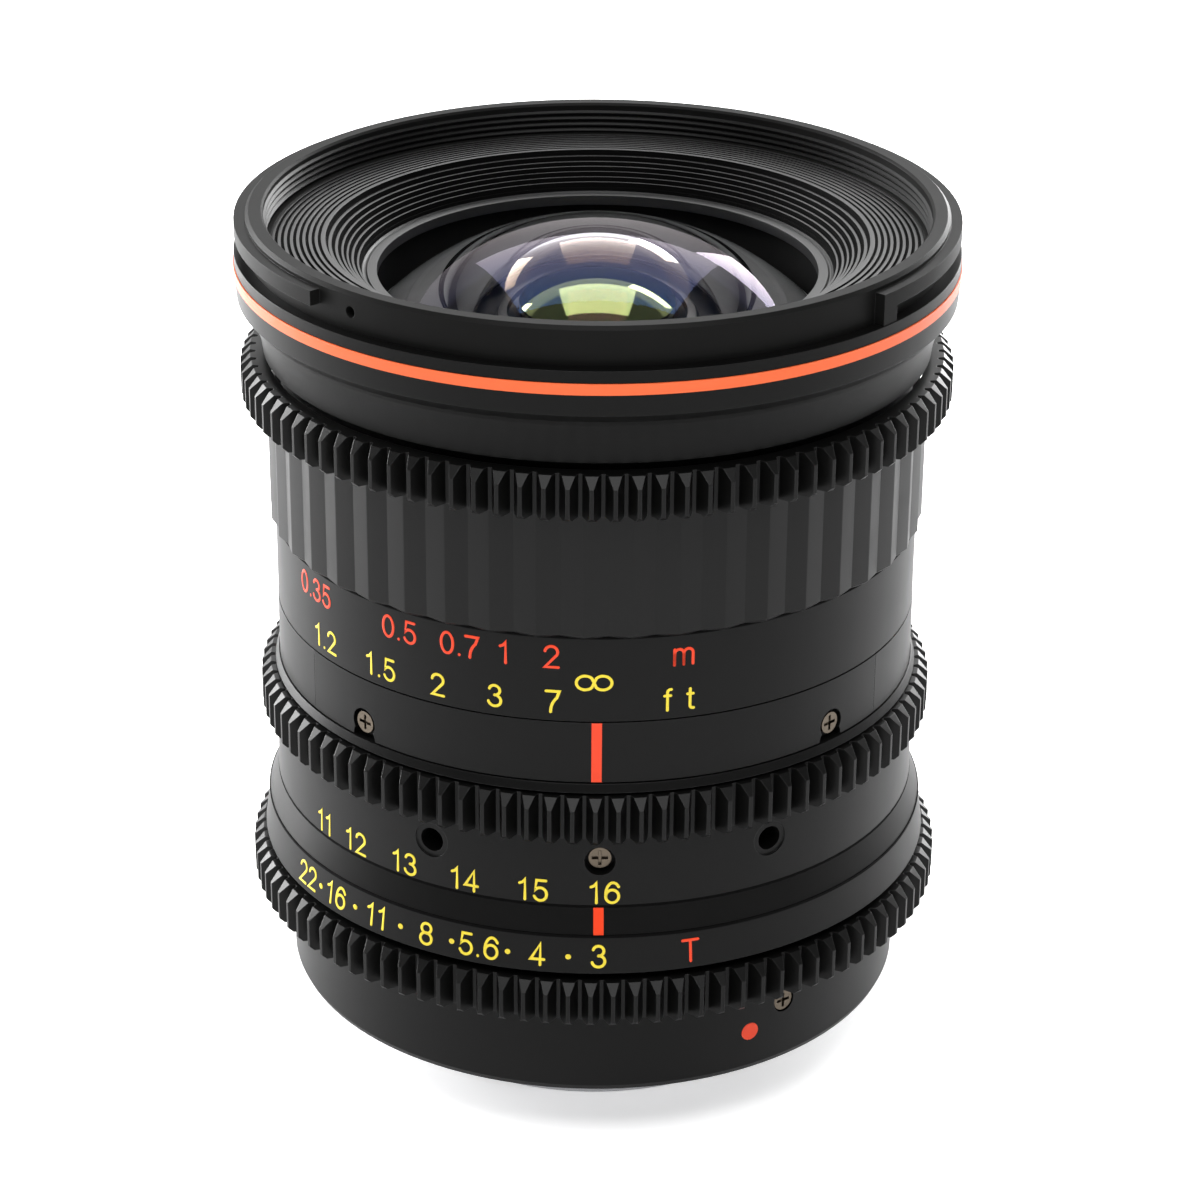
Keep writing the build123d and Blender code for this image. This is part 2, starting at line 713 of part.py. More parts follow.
with BuildPart() as index_plate:
    tube(centre_radius - plate_thickness, centre_radius, centre_low, centre_top,
         start=-plate_angle, arc=2 * plate_angle)
    for angle in plate_screw_angles:
        for level in (centre_low, centre_low + plate_screw_height):
            radial_hole(angle, level, centre_radius + overshoot, plate_notch_radius,
                        plate_thickness + 2 * overshoot)
keep(index_plate, "index_plate")

with BuildPart() as plate_screws:
    for angle in plate_screw_angles:
        side_screw(angle, centre_low + plate_screw_height, plate_screw_radius, sleeve_radius)
keep(plate_screws, "plate_screws")

# Focus ring

with BuildPart() as focus_ring:
    tube(focus_bore_radius, focus_seat_radius, focus_low, focus_gear_top)
keep(focus_ring, "focus_ring")

with BuildPart() as distance_scale:
    tube(focus_seat_radius + seat, scale_radius, focus_low, grip_low)
keep(distance_scale, "distance_scale")

with BuildPart() as focus_grip:
    with BuildSketch(Plane.XY.offset(grip_low)) as fluted:
        pitch = 360 / grip_flutes
        crests = [polar(grip_radius, pitch * number) for number in range(grip_flutes)]
        valleys = [polar(grip_radius - grip_flute_depth, pitch * (number + 0.5))
                   for number in range(grip_flutes)]
        Polygon(*[point for pair in zip(crests, valleys) for point in pair], align=None)
        Circle(focus_seat_radius + seat, mode=Mode.SUBTRACT)
    extrude(amount=grip_height)
keep(focus_grip, "focus_grip")

with BuildPart() as focus_gear:
    gear(focus_seat_radius, focus_gear_rim, focus_gear_low, focus_gear_top, focus_gear_phase)
keep(focus_gear, "focus_gear")

with BuildPart() as focus_helicoid:
    turn((cam_bore_radius, helicoid_low), (cam_radius, helicoid_low), (cam_radius, helicoid_flange_low),
         (focus_bore_radius - seat, helicoid_flange_low), (focus_bore_radius - seat, helicoid_top),
         (cam_bore_radius, helicoid_top))
    for angle in around(roller_angle):
        helical_slot(angle, focus_roller_level, -focus_throw, focus_travel, cam_bore_radius, cam_radius)
keep(focus_helicoid, "focus_helicoid")

# Front barrel, rim and baffle

with BuildPart() as front_barrel:
    with BuildSketch(Plane.XZ) as section:
        with BuildLine():
            flare = SagittaArc((cone_radius, cone_low), (rim_radius, cone_low + cone_height), flare_depth)
            baffle_shelf = baffle_face - baffle_rim
            lip_bore = guide_bore_radius + barrel_lip_reach
            Polyline(flare @ 1, (rim_radius + groove_taper, band_low - band_bevel),
                     (band_radius - band_lip, band_low), (band_radius, red_ring_low),
                     (band_radius - red_ring_depth, red_ring_low),
                     (band_radius - red_ring_depth, red_ring_low + red_ring_height),
                     (band_radius, red_ring_low + red_ring_height), (band_radius, band_top),
                     (baffle_ring_radius + seat, band_top), (baffle_ring_radius + seat, baffle_shelf),
                     (cell_flange_radius + 2 * run, baffle_shelf),
                     (cell_flange_radius + 2 * run, cell_slope_top),
                     (cell_neck_radius + run, cone_low), (cell_neck_radius + run, lip_top),
                     (lip_bore, lip_top), (lip_bore, guide_top), (guide_radius + seat, guide_top),
                     (guide_radius + seat, neck_low), (neck_radius, neck_low),
                     (neck_radius, cone_low), flare @ 0)
        make_face()
    revolve(axis=Axis.Z)
keep(front_barrel, "front_barrel")

with BuildPart() as red_ring:
    tube(band_radius - red_ring_depth + seat, band_radius + red_ring_proud, red_ring_low + seat,
         red_ring_low + red_ring_height - seat)
keep(red_ring, "red_ring")

with BuildPart() as hood_ring:
    relief_radius = filter_thread_radius + thread_relief
    turn((relief_radius, baffle_face), (relief_radius, rim_top - filter_thread_length),
         (filter_thread_radius, rim_top - filter_thread_length),
         (filter_thread_radius, rim_top - thread_chamfer), (filter_thread_radius + thread_chamfer, rim_top),
         (rim_radius - rim_bevel, rim_top), (rim_radius, rim_top - rim_bevel), (rim_radius, band_top),
         (baffle_ring_radius + seat, band_top), (baffle_ring_radius + seat, baffle_face))
    lug_top = band_top + lug_low + lug_height
    for side in (90, 270):
        tube(rim_radius - lug_root, lug_radius, band_top + lug_low, lug_top, start=side - lug_angle / 2,
             arc=lug_angle)
        tube(rim_radius - lug_root, lug_radius, band_top, lug_top, start=side - lug_angle / 2,
             arc=lug_stop_angle)
    radial_hole(rim_hole_angle, band_top + rim_height / 2, rim_radius, rim_hole_radius, rim_hole_depth)
keep(hood_ring, "hood_ring")

with BuildPart() as front_baffle:
    step = ridge_width / ridge_count
    drop = ridge_drop / ridge_count
    ridges = []
    for number in range(ridge_count):
        edge = ridge_outer_radius - step * number
        ridges.append((edge, baffle_face - drop * number))
        ridges.append((edge - step * ridge_slope, baffle_face - drop * (number + 1 + ridge_dip)))
    body_radius = baffle_ring_radius - baffle_body_step
    turn((baffle_ring_radius, baffle_face), *ridges, (ridge_inner_radius, baffle_low),
         (baffle_bore, baffle_low), (baffle_bore, baffle_low - baffle_floor),
         (body_radius, baffle_low - baffle_floor), (body_radius, baffle_face - baffle_rim),
         (baffle_ring_radius, baffle_face - baffle_rim))
    for angle in around(baffle_notch_angle, 4):
        with Locations(facing(angle, baffle_face, baffle_ring_radius)):
            Box(baffle_notch_width, 2 * baffle_notch_drop, 2 * baffle_notch_depth, mode=Mode.SUBTRACT)
keep(front_baffle, "front_baffle")

# Front glass and its cell

with BuildPart() as front_element:
    with BuildSketch(Plane.XZ) as section:
        with BuildLine():
            dome = cap(front_glass_radius, front_curve, front_vertex)
            bowl = inner_face(front_back_radius, front_back_curve, front_vertex - front_centre_thickness)
            front_edge_low = bowl[-1][1]
            Polyline(dome @ 1, (front_glass_radius, front_edge_low), *reversed(bowl), dome @ 0)
        make_face()
    revolve(axis=Axis.Z)
keep(front_element, "front_element")

with BuildPart() as front_cell:
    bore, ledge = glass_seat(second_glass)
    cell_low = guide_top - cell_low_step
    cell_top = baffle_low - baffle_floor - seat
    turn((ledge[0], cell_low), (cell_spigot_radius, cell_low), (cell_spigot_radius, lip_top),
         (cell_neck_radius, lip_top), (cell_neck_radius, cone_low + run),
         (cell_flange_radius, cell_slope_top + run), (cell_flange_radius, cell_top),
         (front_glass_radius + seat, cell_top), (front_glass_radius + seat, front_edge_low),
         (bore[0], front_edge_low), bore, ledge)
keep(front_cell, "front_cell")

with BuildPart() as second_element:
    glass(*second_glass)
keep(second_element, "second_element")


# Moving groups

def cell(glass_sizes, low, high):
    """Lens cell that slides in the guide tube, bored and stepped for its glass."""
    bore, ledge = glass_seat(glass_sizes)
    turn((ledge[0], low), (cell_radius, low), (cell_radius, high), (bore[0], high), bore, ledge)


with BuildPart() as focus_cell:
    cell(focus_glass, focus_cell_low, focus_cell_top)
    roller_holes(focus_roller_level)
keep(focus_cell, "focus_cell")

with BuildPart() as focus_element:
    glass(*focus_glass)
keep(focus_element, "focus_element")

with BuildPart() as focus_rollers:
    for angle in around(roller_angle):
        roller(angle, focus_roller_level)
keep(focus_rollers, "focus_rollers")

with BuildPart() as variator_cell:
    cell(variator_glass, variator_low, variator_top)
    roller_holes(variator_roller_level)
keep(variator_cell, "variator_cell")

with BuildPart() as variator_element:
    glass(*variator_glass)
keep(variator_element, "variator_element")

with BuildPart() as variator_rollers:
    for angle in around(roller_angle):
        roller(angle, variator_roller_level)
keep(variator_rollers, "variator_rollers")

with BuildPart() as rear_tube:
    turn((rear_lip_bore, rear_low), (cell_radius, rear_low), (cell_radius, rear_low + rear_land_low),
         (rear_tube_radius, rear_low + rear_land_low), (rear_tube_radius, rear_top - rear_land_top),
         (cell_radius, rear_top - rear_land_top), (cell_radius, rear_top), (rear_tube_bore, rear_top),
         (rear_tube_bore, iris_seat), (rear_cell_radius, iris_seat), (rear_cell_radius, rear_low + rear_lip),
         (rear_lip_bore, rear_low + rear_lip))
    window(rear_tube_bore, rear_tube_radius, iris_ring_low - open_gap, iris_ring_top + open_gap,
           link_angle - fork_window_margin, aperture_throw + 2 * fork_window_margin)
    roller_holes(rear_roller_level)
keep(rear_tube, "rear_tube")

with BuildPart() as rear_rollers:
    for angle in around(roller_angle):
        roller(angle, rear_roller_level)
keep(rear_rollers, "rear_rollers")

with BuildPart() as rear_cell:
    bore, ledge = glass_seat(rear_glass)
    cell_side = rear_cell_radius - seat
    turn((ledge[0], rear_low + rear_lip), (cell_side, rear_low + rear_lip),
         (cell_side, iris_seat - rear_cell_gap), (bore[0], iris_seat - rear_cell_gap), bore, ledge)
keep(rear_cell, "rear_cell")

with BuildPart() as rear_element:
    glass(*rear_glass)
keep(rear_element, "rear_element")

with BuildPart() as relay_cell:
    bore, ledge = glass_seat(relay_glass)
    turn((ledge[0], relay_low), (rear_tube_bore - seat, relay_low), (rear_tube_bore - seat, rear_top),
         (bore[0], rear_top), bore, ledge)
keep(relay_cell, "relay_cell")

with BuildPart() as relay_element:
    glass(*relay_glass)
keep(relay_element, "relay_element")

# Iris: housing, slotted ring and blades, each blade in its own layer

with BuildPart() as iris_housing:
    housing_wall = iris_ring_radius - iris_wall
    turn((blade_inner_radius, iris_seat), (rear_tube_bore - seat, iris_seat),
         (rear_tube_bore - seat, iris_seat + iris_floor), (iris_ring_radius, iris_seat + iris_floor),
         (iris_ring_radius, iris_ring_low - seat), (housing_wall, iris_ring_low - seat),
         (housing_wall, iris_seat + iris_floor), (blade_inner_radius, iris_seat + iris_floor))
    with Locations(Plane.XY.offset(iris_seat)):
        with PolarLocations(pivot_circle, blade_count, start_angle=-90):
            Cylinder(pivot_radius + pin_fit, 4 * iris_floor, mode=Mode.SUBTRACT)
keep(iris_housing, "iris_housing")

with BuildPart() as iris_retainer:
    tube(blade_outer_radius, rear_tube_bore - seat, iris_ring_top + gap, relay_low)
keep(iris_retainer, "iris_retainer")


def drive_pin(swing):
    """Drive pin of the first blade when the blade has swung by an angle."""
    from_pivot = (drive_circle * cos(radians(drive_angle)) - pivot_circle,
                  drive_circle * sin(radians(drive_angle)))
    arm, heading = hypot(*from_pivot), degrees(atan2(from_pivot[1], from_pivot[0])) + swing
    return pivot_circle + arm * cos(radians(heading)), arm * sin(radians(heading))


def slot_point(share):
    """Where the drive pin lies in the turning ring, at a share of the throw."""
    x, y = drive_pin(blade_swing * share)
    back = radians(-aperture_throw * share)
    return x * cos(back) - y * sin(back), x * sin(back) + y * cos(back)


with BuildPart() as iris_ring:
    with BuildSketch(Plane.XY.offset(iris_ring_low)) as plate:
        Circle(iris_ring_radius)
        with Locations(Location((0, 0, 0), (0, 0, link_angle - 90))):
            Rectangle(link_bar_outer - open_gap, fork_width, align=(Align.MIN, Align.CENTER))
        Circle(blade_inner_radius + iris_ring_bore_step, mode=Mode.SUBTRACT)
        with Locations(Location((0, 0, 0), (0, 0, link_angle - 90))):
            with Locations((link_bar_inner - fork_depth, 0)):
                Rectangle(2 * link_bar_thickness, link_bar_width + 2 * roller_fit,
                          align=(Align.MIN, Align.CENTER), mode=Mode.SUBTRACT)
        with BuildLine(mode=Mode.PRIVATE):
            path = ThreePointArc(slot_point(-0.02), slot_point(0.5), slot_point(1.02))
        with PolarLocations(0, blade_count, start_angle=-90):
            SlotArc(path, 2 * (drive_radius + drive_fit), mode=Mode.SUBTRACT)
    extrude(amount=iris_ring_thickness)
keep(iris_ring, "iris_ring")

for number in range(blade_count):
    layer = stack_low + blade_pitch * number
    with BuildPart() as blade:
        with BuildSketch(Plane.XY.offset(layer)):
            with BuildLine():
                start, end = blade_span
                inside = CenterArc((0, 0), blade_inner_radius, start, end - start)
                outside = CenterArc((0, 0), blade_outer_radius, start, end - start)
                Line(inside @ 0, outside @ 0)
                far_end = ((inside @ 1) + (outside @ 1)) / 2 + (inside % 1) * blade_round
                ThreePointArc(inside @ 1, far_end, outside @ 1)
            make_face()
            tail_centre = ((pivot_circle + blade_outer_radius - tail_overlap) / 2, tail_lean)
            SlotCenterPoint(tail_centre, (pivot_circle, 0), 2 * pivot_lug_radius)
            with Locations(drive_pin(0)):
                Circle(drive_lug_radius)
        extrude(amount=blade_thickness)
        with Locations((pivot_circle, 0, layer)):
            Cylinder(pivot_radius, layer - iris_seat - pin_end_gap,
                     align=(Align.CENTER, Align.CENTER, Align.MAX))
        with Locations((*drive_pin(0), layer)):
            Cylinder(drive_radius, iris_ring_top - seat - layer,
                     align=(Align.CENTER, Align.CENTER, Align.MIN))
    turned = blade.part.rotate(Axis.Z, 360 / blade_count * number - 90)
    turned.label = f"iris_blade_{number + 1}"
    export_step(turned, f"parts/iris_blade_{number + 1}.step")
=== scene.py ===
import json
import math

import bpy
import bmesh
from mathutils import Matrix, Vector


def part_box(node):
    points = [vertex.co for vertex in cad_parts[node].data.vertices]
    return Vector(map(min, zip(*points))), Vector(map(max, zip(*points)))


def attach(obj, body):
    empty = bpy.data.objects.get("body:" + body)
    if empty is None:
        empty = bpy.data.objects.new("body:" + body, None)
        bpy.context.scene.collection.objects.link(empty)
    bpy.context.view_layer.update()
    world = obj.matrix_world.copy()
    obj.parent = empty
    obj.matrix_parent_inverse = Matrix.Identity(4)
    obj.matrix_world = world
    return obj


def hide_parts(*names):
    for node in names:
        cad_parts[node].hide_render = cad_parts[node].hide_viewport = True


# Looks of a wide-angle cinema zoom lens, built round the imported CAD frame.
# Lengths written here are millimetres, and MM turns them into metres. Angles are degrees
# round the optical axis, 0 at the front (-Y), growing to the right as the lens is seen.
# Heights are measured from the rear edge of the bayonet, on which the lens stands.

MM = 0.001

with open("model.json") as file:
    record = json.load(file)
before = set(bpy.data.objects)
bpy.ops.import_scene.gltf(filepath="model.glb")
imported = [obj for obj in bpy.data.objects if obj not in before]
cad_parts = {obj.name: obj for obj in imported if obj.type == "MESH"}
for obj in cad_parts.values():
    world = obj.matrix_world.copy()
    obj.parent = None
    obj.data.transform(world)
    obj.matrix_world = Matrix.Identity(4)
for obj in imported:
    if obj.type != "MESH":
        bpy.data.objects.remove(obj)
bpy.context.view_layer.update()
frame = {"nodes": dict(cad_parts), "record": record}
nodes = frame["nodes"]


def low_of(node):
    """Height of a node's lower end, in millimetres."""
    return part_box(node)[0].z / MM


def high_of(node):
    """Height of a node's upper end, in millimetres."""
    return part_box(node)[1].z / MM


def radius_of(node):
    """Outer radius of a turned node, in millimetres, read at its front."""
    return -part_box(node)[0].y / MM


# Shader arithmetic

class Socket:
    """A shader value that takes part in Python arithmetic."""

    def __init__(self, paint, link):
        self.paint = paint
        self.link = link

    def math(self, operation, *others):
        return self.paint.node("ShaderNodeMath", {"operation": operation}, [self, *others])

    def __add__(self, other):
        return self.math("ADD", other)

    def __radd__(self, other):
        return self.math("ADD", other)

    def __sub__(self, other):
        return self.math("SUBTRACT", other)

    def __rsub__(self, other):
        return self.paint.node("ShaderNodeMath", {"operation": "SUBTRACT"}, [other, self])

    def __mul__(self, other):
        return self.math("MULTIPLY", other)

    def __rmul__(self, other):
        return self.math("MULTIPLY", other)

    def __truediv__(self, other):
        return self.math("DIVIDE", other)

    def clamp(self, low=0.0, high=1.0):
        return self.math("MAXIMUM", low).math("MINIMUM", high)

    def ramp(self, start, end):
        """0 at start, 1 at end, straight between them."""
        return ((self - start) / (end - start)).clamp()


class Paint:
    """The shader nodes of a material or of the world."""

    def __init__(self, owner):
        owner.use_nodes = True
        self.owner = owner
        self.tree = owner.node_tree
        self.tree.nodes.clear()

    def node(self, kind, settings=None, sockets=None, output=0):
        """Add a node: settings first, then its sockets by name or number."""
        made = self.tree.nodes.new(kind)
        for name, value in (settings or {}).items():
            setattr(made, name, value)
        pairs = sockets.items() if isinstance(sockets, dict) else enumerate(sockets or [])
        for key, value in pairs:
            if isinstance(value, Socket):
                self.tree.links.new(value.link, made.inputs[key])
            else:
                made.inputs[key].default_value = value
        return Socket(self, made.outputs[output]) if made.outputs else None

    def mix(self, factor, first, second):
        """Blend of two colours; each is three numbers or a Socket."""
        first, second = ((*c, 1.0) if isinstance(c, tuple) else c for c in (first, second))
        return self.node("ShaderNodeMix", {"data_type": "RGBA"},
                         {0: factor, 6: first, 7: second}, 2)

    def place(self):
        """Position on the object at rest, in metres."""
        return self.node("ShaderNodeTexCoord", output="Object")

    def noise(self, per_mm, detail=2.0, roughness=0.5):
        return self.node("ShaderNodeTexNoise", None,
                         {"Vector": self.place(), "Scale": per_mm / MM, "Detail": detail,
                          "Roughness": roughness}, "Fac")

    def bump(self, height, strength, distance, normal=None):
        sockets = {"Height": height, "Strength": strength, "Distance": distance * MM}
        if normal:
            sockets["Normal"] = normal
        return self.node("ShaderNodeBump", None, sockets)

    def rounded(self, radius):
        """Normal that rounds off sharp edges by a radius in millimetres."""
        return self.node("ShaderNodeBevel", {"samples": 6}, {"Radius": radius * MM})

    def edges(self, radius, gain):
        """1 on sharp edges, falling to 0 within a radius in millimetres."""
        flat = self.node("ShaderNodeNewGeometry", output="Normal")
        likeness = self.node("ShaderNodeVectorMath", {"operation": "DOT_PRODUCT"},
                             [self.rounded(radius), flat], "Value")
        return ((1.0 - likeness) * gain).clamp()

    def surface(self, **sockets):
        named = {key.replace("_", " "): value for key, value in sockets.items()}
        return self.node("ShaderNodeBsdfPrincipled", None, named)

    def finish(self, shader):
        self.node("ShaderNodeOutputMaterial", None, {"Surface": shader})
        return self.owner


def new_paint(name):
    return Paint(bpy.data.materials.new(name))


def shade(colour, factor):
    """A colour made darker or lighter."""
    return tuple(c * factor for c in colour)


# Finishes

WORN_AND_HIGHLIT_EDGE = (0.040, 0.040, 0.041)     # lighter sharp edges: partly rubbed anodising, partly a painted edge highlight
# painted highlight along the rubber's rib edges
RIB_HIGHLIGHT = (0.040, 0.040, 0.040)
RUBBER_DARK = (0.0034, 0.0034, 0.0034)
RUBBER_BLOOM = (0.0060, 0.0060, 0.0058)
GLASS_INDEX = 1.52
COATING_INDEX = 1.3


def black_anodised(name, base, roughness, grain=0.10, shine=0.15):
    """Bead-blasted black anodised aluminium, lighter along its sharp edges: partly rubbed
    anodising, partly a painted highlight.
    """
    paint = new_paint(name)
    cloud = paint.noise(0.12, 3.0)
    speck = paint.noise(9.0, 1.0)
    edge_highlight = paint.edges(0.16, 3.2)
    colour = paint.mix(cloud, shade((0.82, 0.82, 0.80), base), shade((1.2, 1.2, 1.16), base))
    # Sharp edges lightened: partly wear, partly a painted edge highlight
    colour = paint.mix(edge_highlight * 0.5, colour, WORN_AND_HIGHLIT_EDGE)
    normal = paint.bump(speck, grain, 0.02, paint.rounded(0.10))
    return paint.finish(paint.surface(
        Base_Color=colour, Roughness=roughness - 0.10 * edge_highlight + 0.08 * (cloud - 0.5),
        Specular_IOR_Level=shine, Normal=normal))


def matte_black(name, base, roughness, shine=0.12):
    """Flat black inside finish that swallows light."""
    paint = new_paint(name)
    cloud = paint.noise(0.3, 2.0)
    colour = paint.mix(cloud, (base * 0.8,) * 3, (base * 1.2,) * 3)
    return paint.finish(paint.surface(
        Base_Color=colour, Roughness=roughness, Specular_IOR_Level=shine,
        Normal=paint.bump(paint.noise(6.0, 1.0), 0.15, 0.02)))


def grip_rubber():
    """Moulded rubber with a faint bloom, and a painted highlight along the rib edges."""
    paint = new_paint("grip_rubber")
    cloud = paint.noise(0.2, 3.0)
    skin = paint.noise(5.0, 2.0)
    edge_highlight = paint.edges(0.2, 2.4)
    colour = paint.mix(cloud, RUBBER_DARK, RUBBER_BLOOM)
    # Rib edges lightened: a painted highlight
    colour = paint.mix(edge_highlight * 0.5, colour, RIB_HIGHLIGHT)
    return paint.finish(paint.surface(
        Base_Color=colour, Roughness=0.40 + 0.12 * (cloud - 0.5), Specular_IOR_Level=0.18,
        Normal=paint.bump(skin, 0.12, 0.03)))


def bright_steel(name, base, roughness, turned=0.25):
    """Plated or bare steel with fine turning marks round the axis."""
    paint = new_paint(name)
    across = paint.node("ShaderNodeMapping", None,
                        {"Vector": paint.place(), "Scale": (60.0, 60.0, 30000.0)})
    lines = paint.node("ShaderNodeTexNoise", None,
                       {"Vector": across, "Scale": 1.0, "Detail": 2.0}, "Fac")
    smudge = paint.noise(0.25, 3.0)
    colour = paint.mix(smudge, shade(base, 0.86), base)
    return paint.finish(paint.surface(
        Base_Color=colour, Metallic=1.0,
        Roughness=roughness + 0.12 * (smudge - 0.5) + 0.08 * (lines - 0.5),
        Normal=paint.bump(lines, turned, 0.01, paint.rounded(0.08))))


def enamel(name, base, roughness=0.38):
    """Paint laid into an engraving or on a ring."""
    paint = new_paint(name)
    cloud = paint.noise(1.5, 2.0)
    colour = paint.mix(cloud, shade(base, 0.92), base)
    return paint.finish(paint.surface(
        Base_Color=colour, Roughness=roughness + 0.1 * (cloud - 0.5), Specular_IOR_Level=0.3,
        Normal=paint.bump(paint.noise(4.0, 1.0), 0.08, 0.02)))


def clear_glass(name, tint, film):
    """Optical glass with a coating, whose thickness in nanometres colours what it mirrors."""
    paint = new_paint(name)
    smear = paint.noise(0.08, 2.0)
    return paint.finish(paint.surface(
        Base_Color=(*tint, 1.0), Roughness=0.012 * smear.ramp(0.45, 0.7), Transmission_Weight=1.0,
        IOR=GLASS_INDEX, Thin_Film_Thickness=film, Thin_Film_IOR=COATING_INDEX))


def coated_lens(name, depth, tint, index):
    """Inner lens over a dark barrel: nearly black, with a coloured reflection."""
    paint = new_paint(name)
    smear = paint.noise(0.1, 2.0)
    colour = paint.mix(smear, shade(depth, 0.8), depth)
    return paint.finish(paint.surface(
        Base_Color=colour, Roughness=0.03 + 0.03 * smear, IOR=index,
        Specular_Tint=(*tint, 1.0)))


anodised = black_anodised("black_anodised", 0.0032, 0.40, shine=0.13)
anodised_gear = black_anodised("black_anodised_gear", 0.0032, 0.36, shine=0.16)
anodised_front = black_anodised("black_anodised_front", 0.0032, 0.36, shine=0.11)
hood_black = black_anodised("hood_black", 0.0075, 0.45, shine=0.06)
inner_black = matte_black("inner_black", 0.004, 0.75)
ridge_black = matte_black("ridge_black", 0.014, 0.40, shine=0.4)
# Blackest finish: the blacked back of the front glass, and painted shade in the baffle's grooves,
# in the joints between rings and on the shelf inside the lens
blacking_and_painted_shade = matte_black("blacking_and_painted_shade", 0.002, 0.8, shine=0.05)
ground_glass = matte_black("ground_glass", 0.11, 0.6, shine=0.3)
thread_black = matte_black("thread_black", 0.006, 0.40, shine=0.24)
blade_black = matte_black("blade_black", 0.008, 0.5)
rubber = grip_rubber()
plated_steel = bright_steel("plated_steel", (0.70, 0.70, 0.72), 0.22)
screw_steel = bright_steel("screw_steel", (0.115, 0.094, 0.072), 0.3)
link_steel = bright_steel("link_steel", (0.42, 0.42, 0.44), 0.35)
roller_brass = bright_steel("roller_brass", (0.72, 0.53, 0.25), 0.3)
red_enamel = enamel("red_enamel", (0.95, 0.15, 0.040), 0.32)
red_mark = enamel("red_mark", (0.90, 0.058, 0.012))
yellow_mark = enamel("yellow_mark", (0.90, 0.71, 0.045))
front_glass = clear_glass("front_glass", (0.97, 0.95, 0.96), 145.0)
inner_glass = clear_glass("inner_glass", (0.93, 0.96, 0.92), 460.0)
green_lens = coated_lens("green_lens", (0.006, 0.009, 0.003), (0.80, 1.0, 0.34), 2.3)

FINISHES = {
    "black_anodised": anodised,
    "black_inner": inner_black,
    "baffle_black": ridge_black,
    "grip_rubber": rubber,
    "bayonet_steel": plated_steel,
    "screw_steel": screw_steel,
    "link_steel": link_steel,
    "blade_black": blade_black,
    "roller_brass": roller_brass,
    "signal_red": red_enamel,
    "coated_glass": inner_glass,
}

for part in frame["record"]["subparts"]:
    shown = nodes[part["node"]]
    shown.data.materials.clear()
    shown.data.materials.append(FINISHES[part["material_slot"]])
for gear_node in ("focus_gear", "zoom_gear", "aperture_gear"):
    nodes[gear_node].data.materials[0] = anodised_gear
nodes["front_barrel"].data.materials[0] = anodised_front
nodes["hood_ring"].data.materials[0] = hood_black
nodes["mount_index"].data.materials[0] = red_mark


# Mesh making

SMOOTH_BELOW = 32      # edges under this angle are shaded smooth


def as_object(name, verts, faces, material, body, slot):
    """Mesh object from points in millimetres, riding on a CAD body."""
    mesh = bpy.data.meshes.new(name)
    mesh.from_pydata([Vector(v) * MM for v in verts], [], faces)
    mesh.validate()
    work = bmesh.new()
    work.from_mesh(mesh)
    bmesh.ops.recalc_face_normals(work, faces=work.faces)
    work.to_mesh(mesh)
    work.free()
    mesh.shade_smooth()
    mesh.set_sharp_from_angle(angle=math.radians(SMOOTH_BELOW))
    mesh.materials.append(material)
    made = bpy.data.objects.new(name, mesh)
    bpy.context.scene.collection.objects.link(made)
    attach(made, body)
    return made


def polar(radius, angle, height=0.0):
    """Point at a radius and an angle from the front."""
    turned = math.radians(angle)
    return radius * math.sin(turned), -radius * math.cos(turned), height


def rounded_outline(corners, radius, steps=4):
    """Outline with a small arc for each corner."""
    points = []
    count = len(corners)
    for number, corner in enumerate(corners):
        here = Vector(corner)
        back = Vector(corners[number - 1]) - here
        on = Vector(corners[(number + 1) % count]) - here
        half = back.angle(on) / 2
        cut = min(radius / math.tan(half), 0.45 * back.length, 0.45 * on.length)
        if cut < 1e-4:
            points.append(tuple(here))
            continue
        start, end = here + back.normalized() * cut, here + on.normalized() * cut
        for step in range(steps + 1):
            t = step / steps
            points.append(tuple(start.lerp(here, t).lerp(here.lerp(end, t), t)))
    return points


def turned(name, corners, material, body, slot, radius=0.12, segments=256):
    """Ring turned from a closed outline of (radius, height) corners."""
    outline = rounded_outline(corners, radius)
    rows = len(outline)
    verts = [polar(r, 360 * s / segments, z) for s in range(segments) for r, z in outline]
    faces = [(s * rows + k, s * rows + (k + 1) % rows,
              (s + 1) % segments * rows + (k + 1) % rows, (s + 1) % segments * rows + k)
             for s in range(segments) for k in range(rows)]
    return as_object(name, verts, faces, material, body, slot)


def domed(name, top_curve, back_curve, material, body, slot, segments=192):
    """Solid glass turned from an upper face and a lower face, each from the axis outwards."""
    outline = top_curve + back_curve[::-1]
    inner = [p for p in outline if p[0] > 1e-6]
    rows = len(inner)
    verts = [polar(r, 360 * s / segments, z) for s in range(segments) for r, z in inner]
    faces = [(s * rows + k, s * rows + k + 1,
              (s + 1) % segments * rows + k + 1, (s + 1) % segments * rows + k)
             for s in range(segments) for k in range(rows - 1)]
    verts += [(0, 0, outline[0][1]), (0, 0, outline[-1][1])]
    upper, lower = len(verts) - 2, len(verts) - 1
    for s in range(segments):
        after = (s + 1) % segments
        faces.append((s * rows, after * rows, upper))
        faces.append((s * rows + rows - 1, lower, after * rows + rows - 1))
    return as_object(name, verts, faces, material, body, slot)


def face_curve(radius, curve, vertex, steps=40):
    """Lens face from the axis to a radius; the curve is negative for a bowl below."""
    side = math.copysign(1, curve)
    reach = math.asin(radius / abs(curve))
    return [(abs(curve) * math.sin(reach * k / steps),
             vertex - side * abs(curve) * (1 - math.cos(reach * k / steps)))
            for k in range(steps + 1)]


# Engraved marks: strokes of paint that lie on the rings

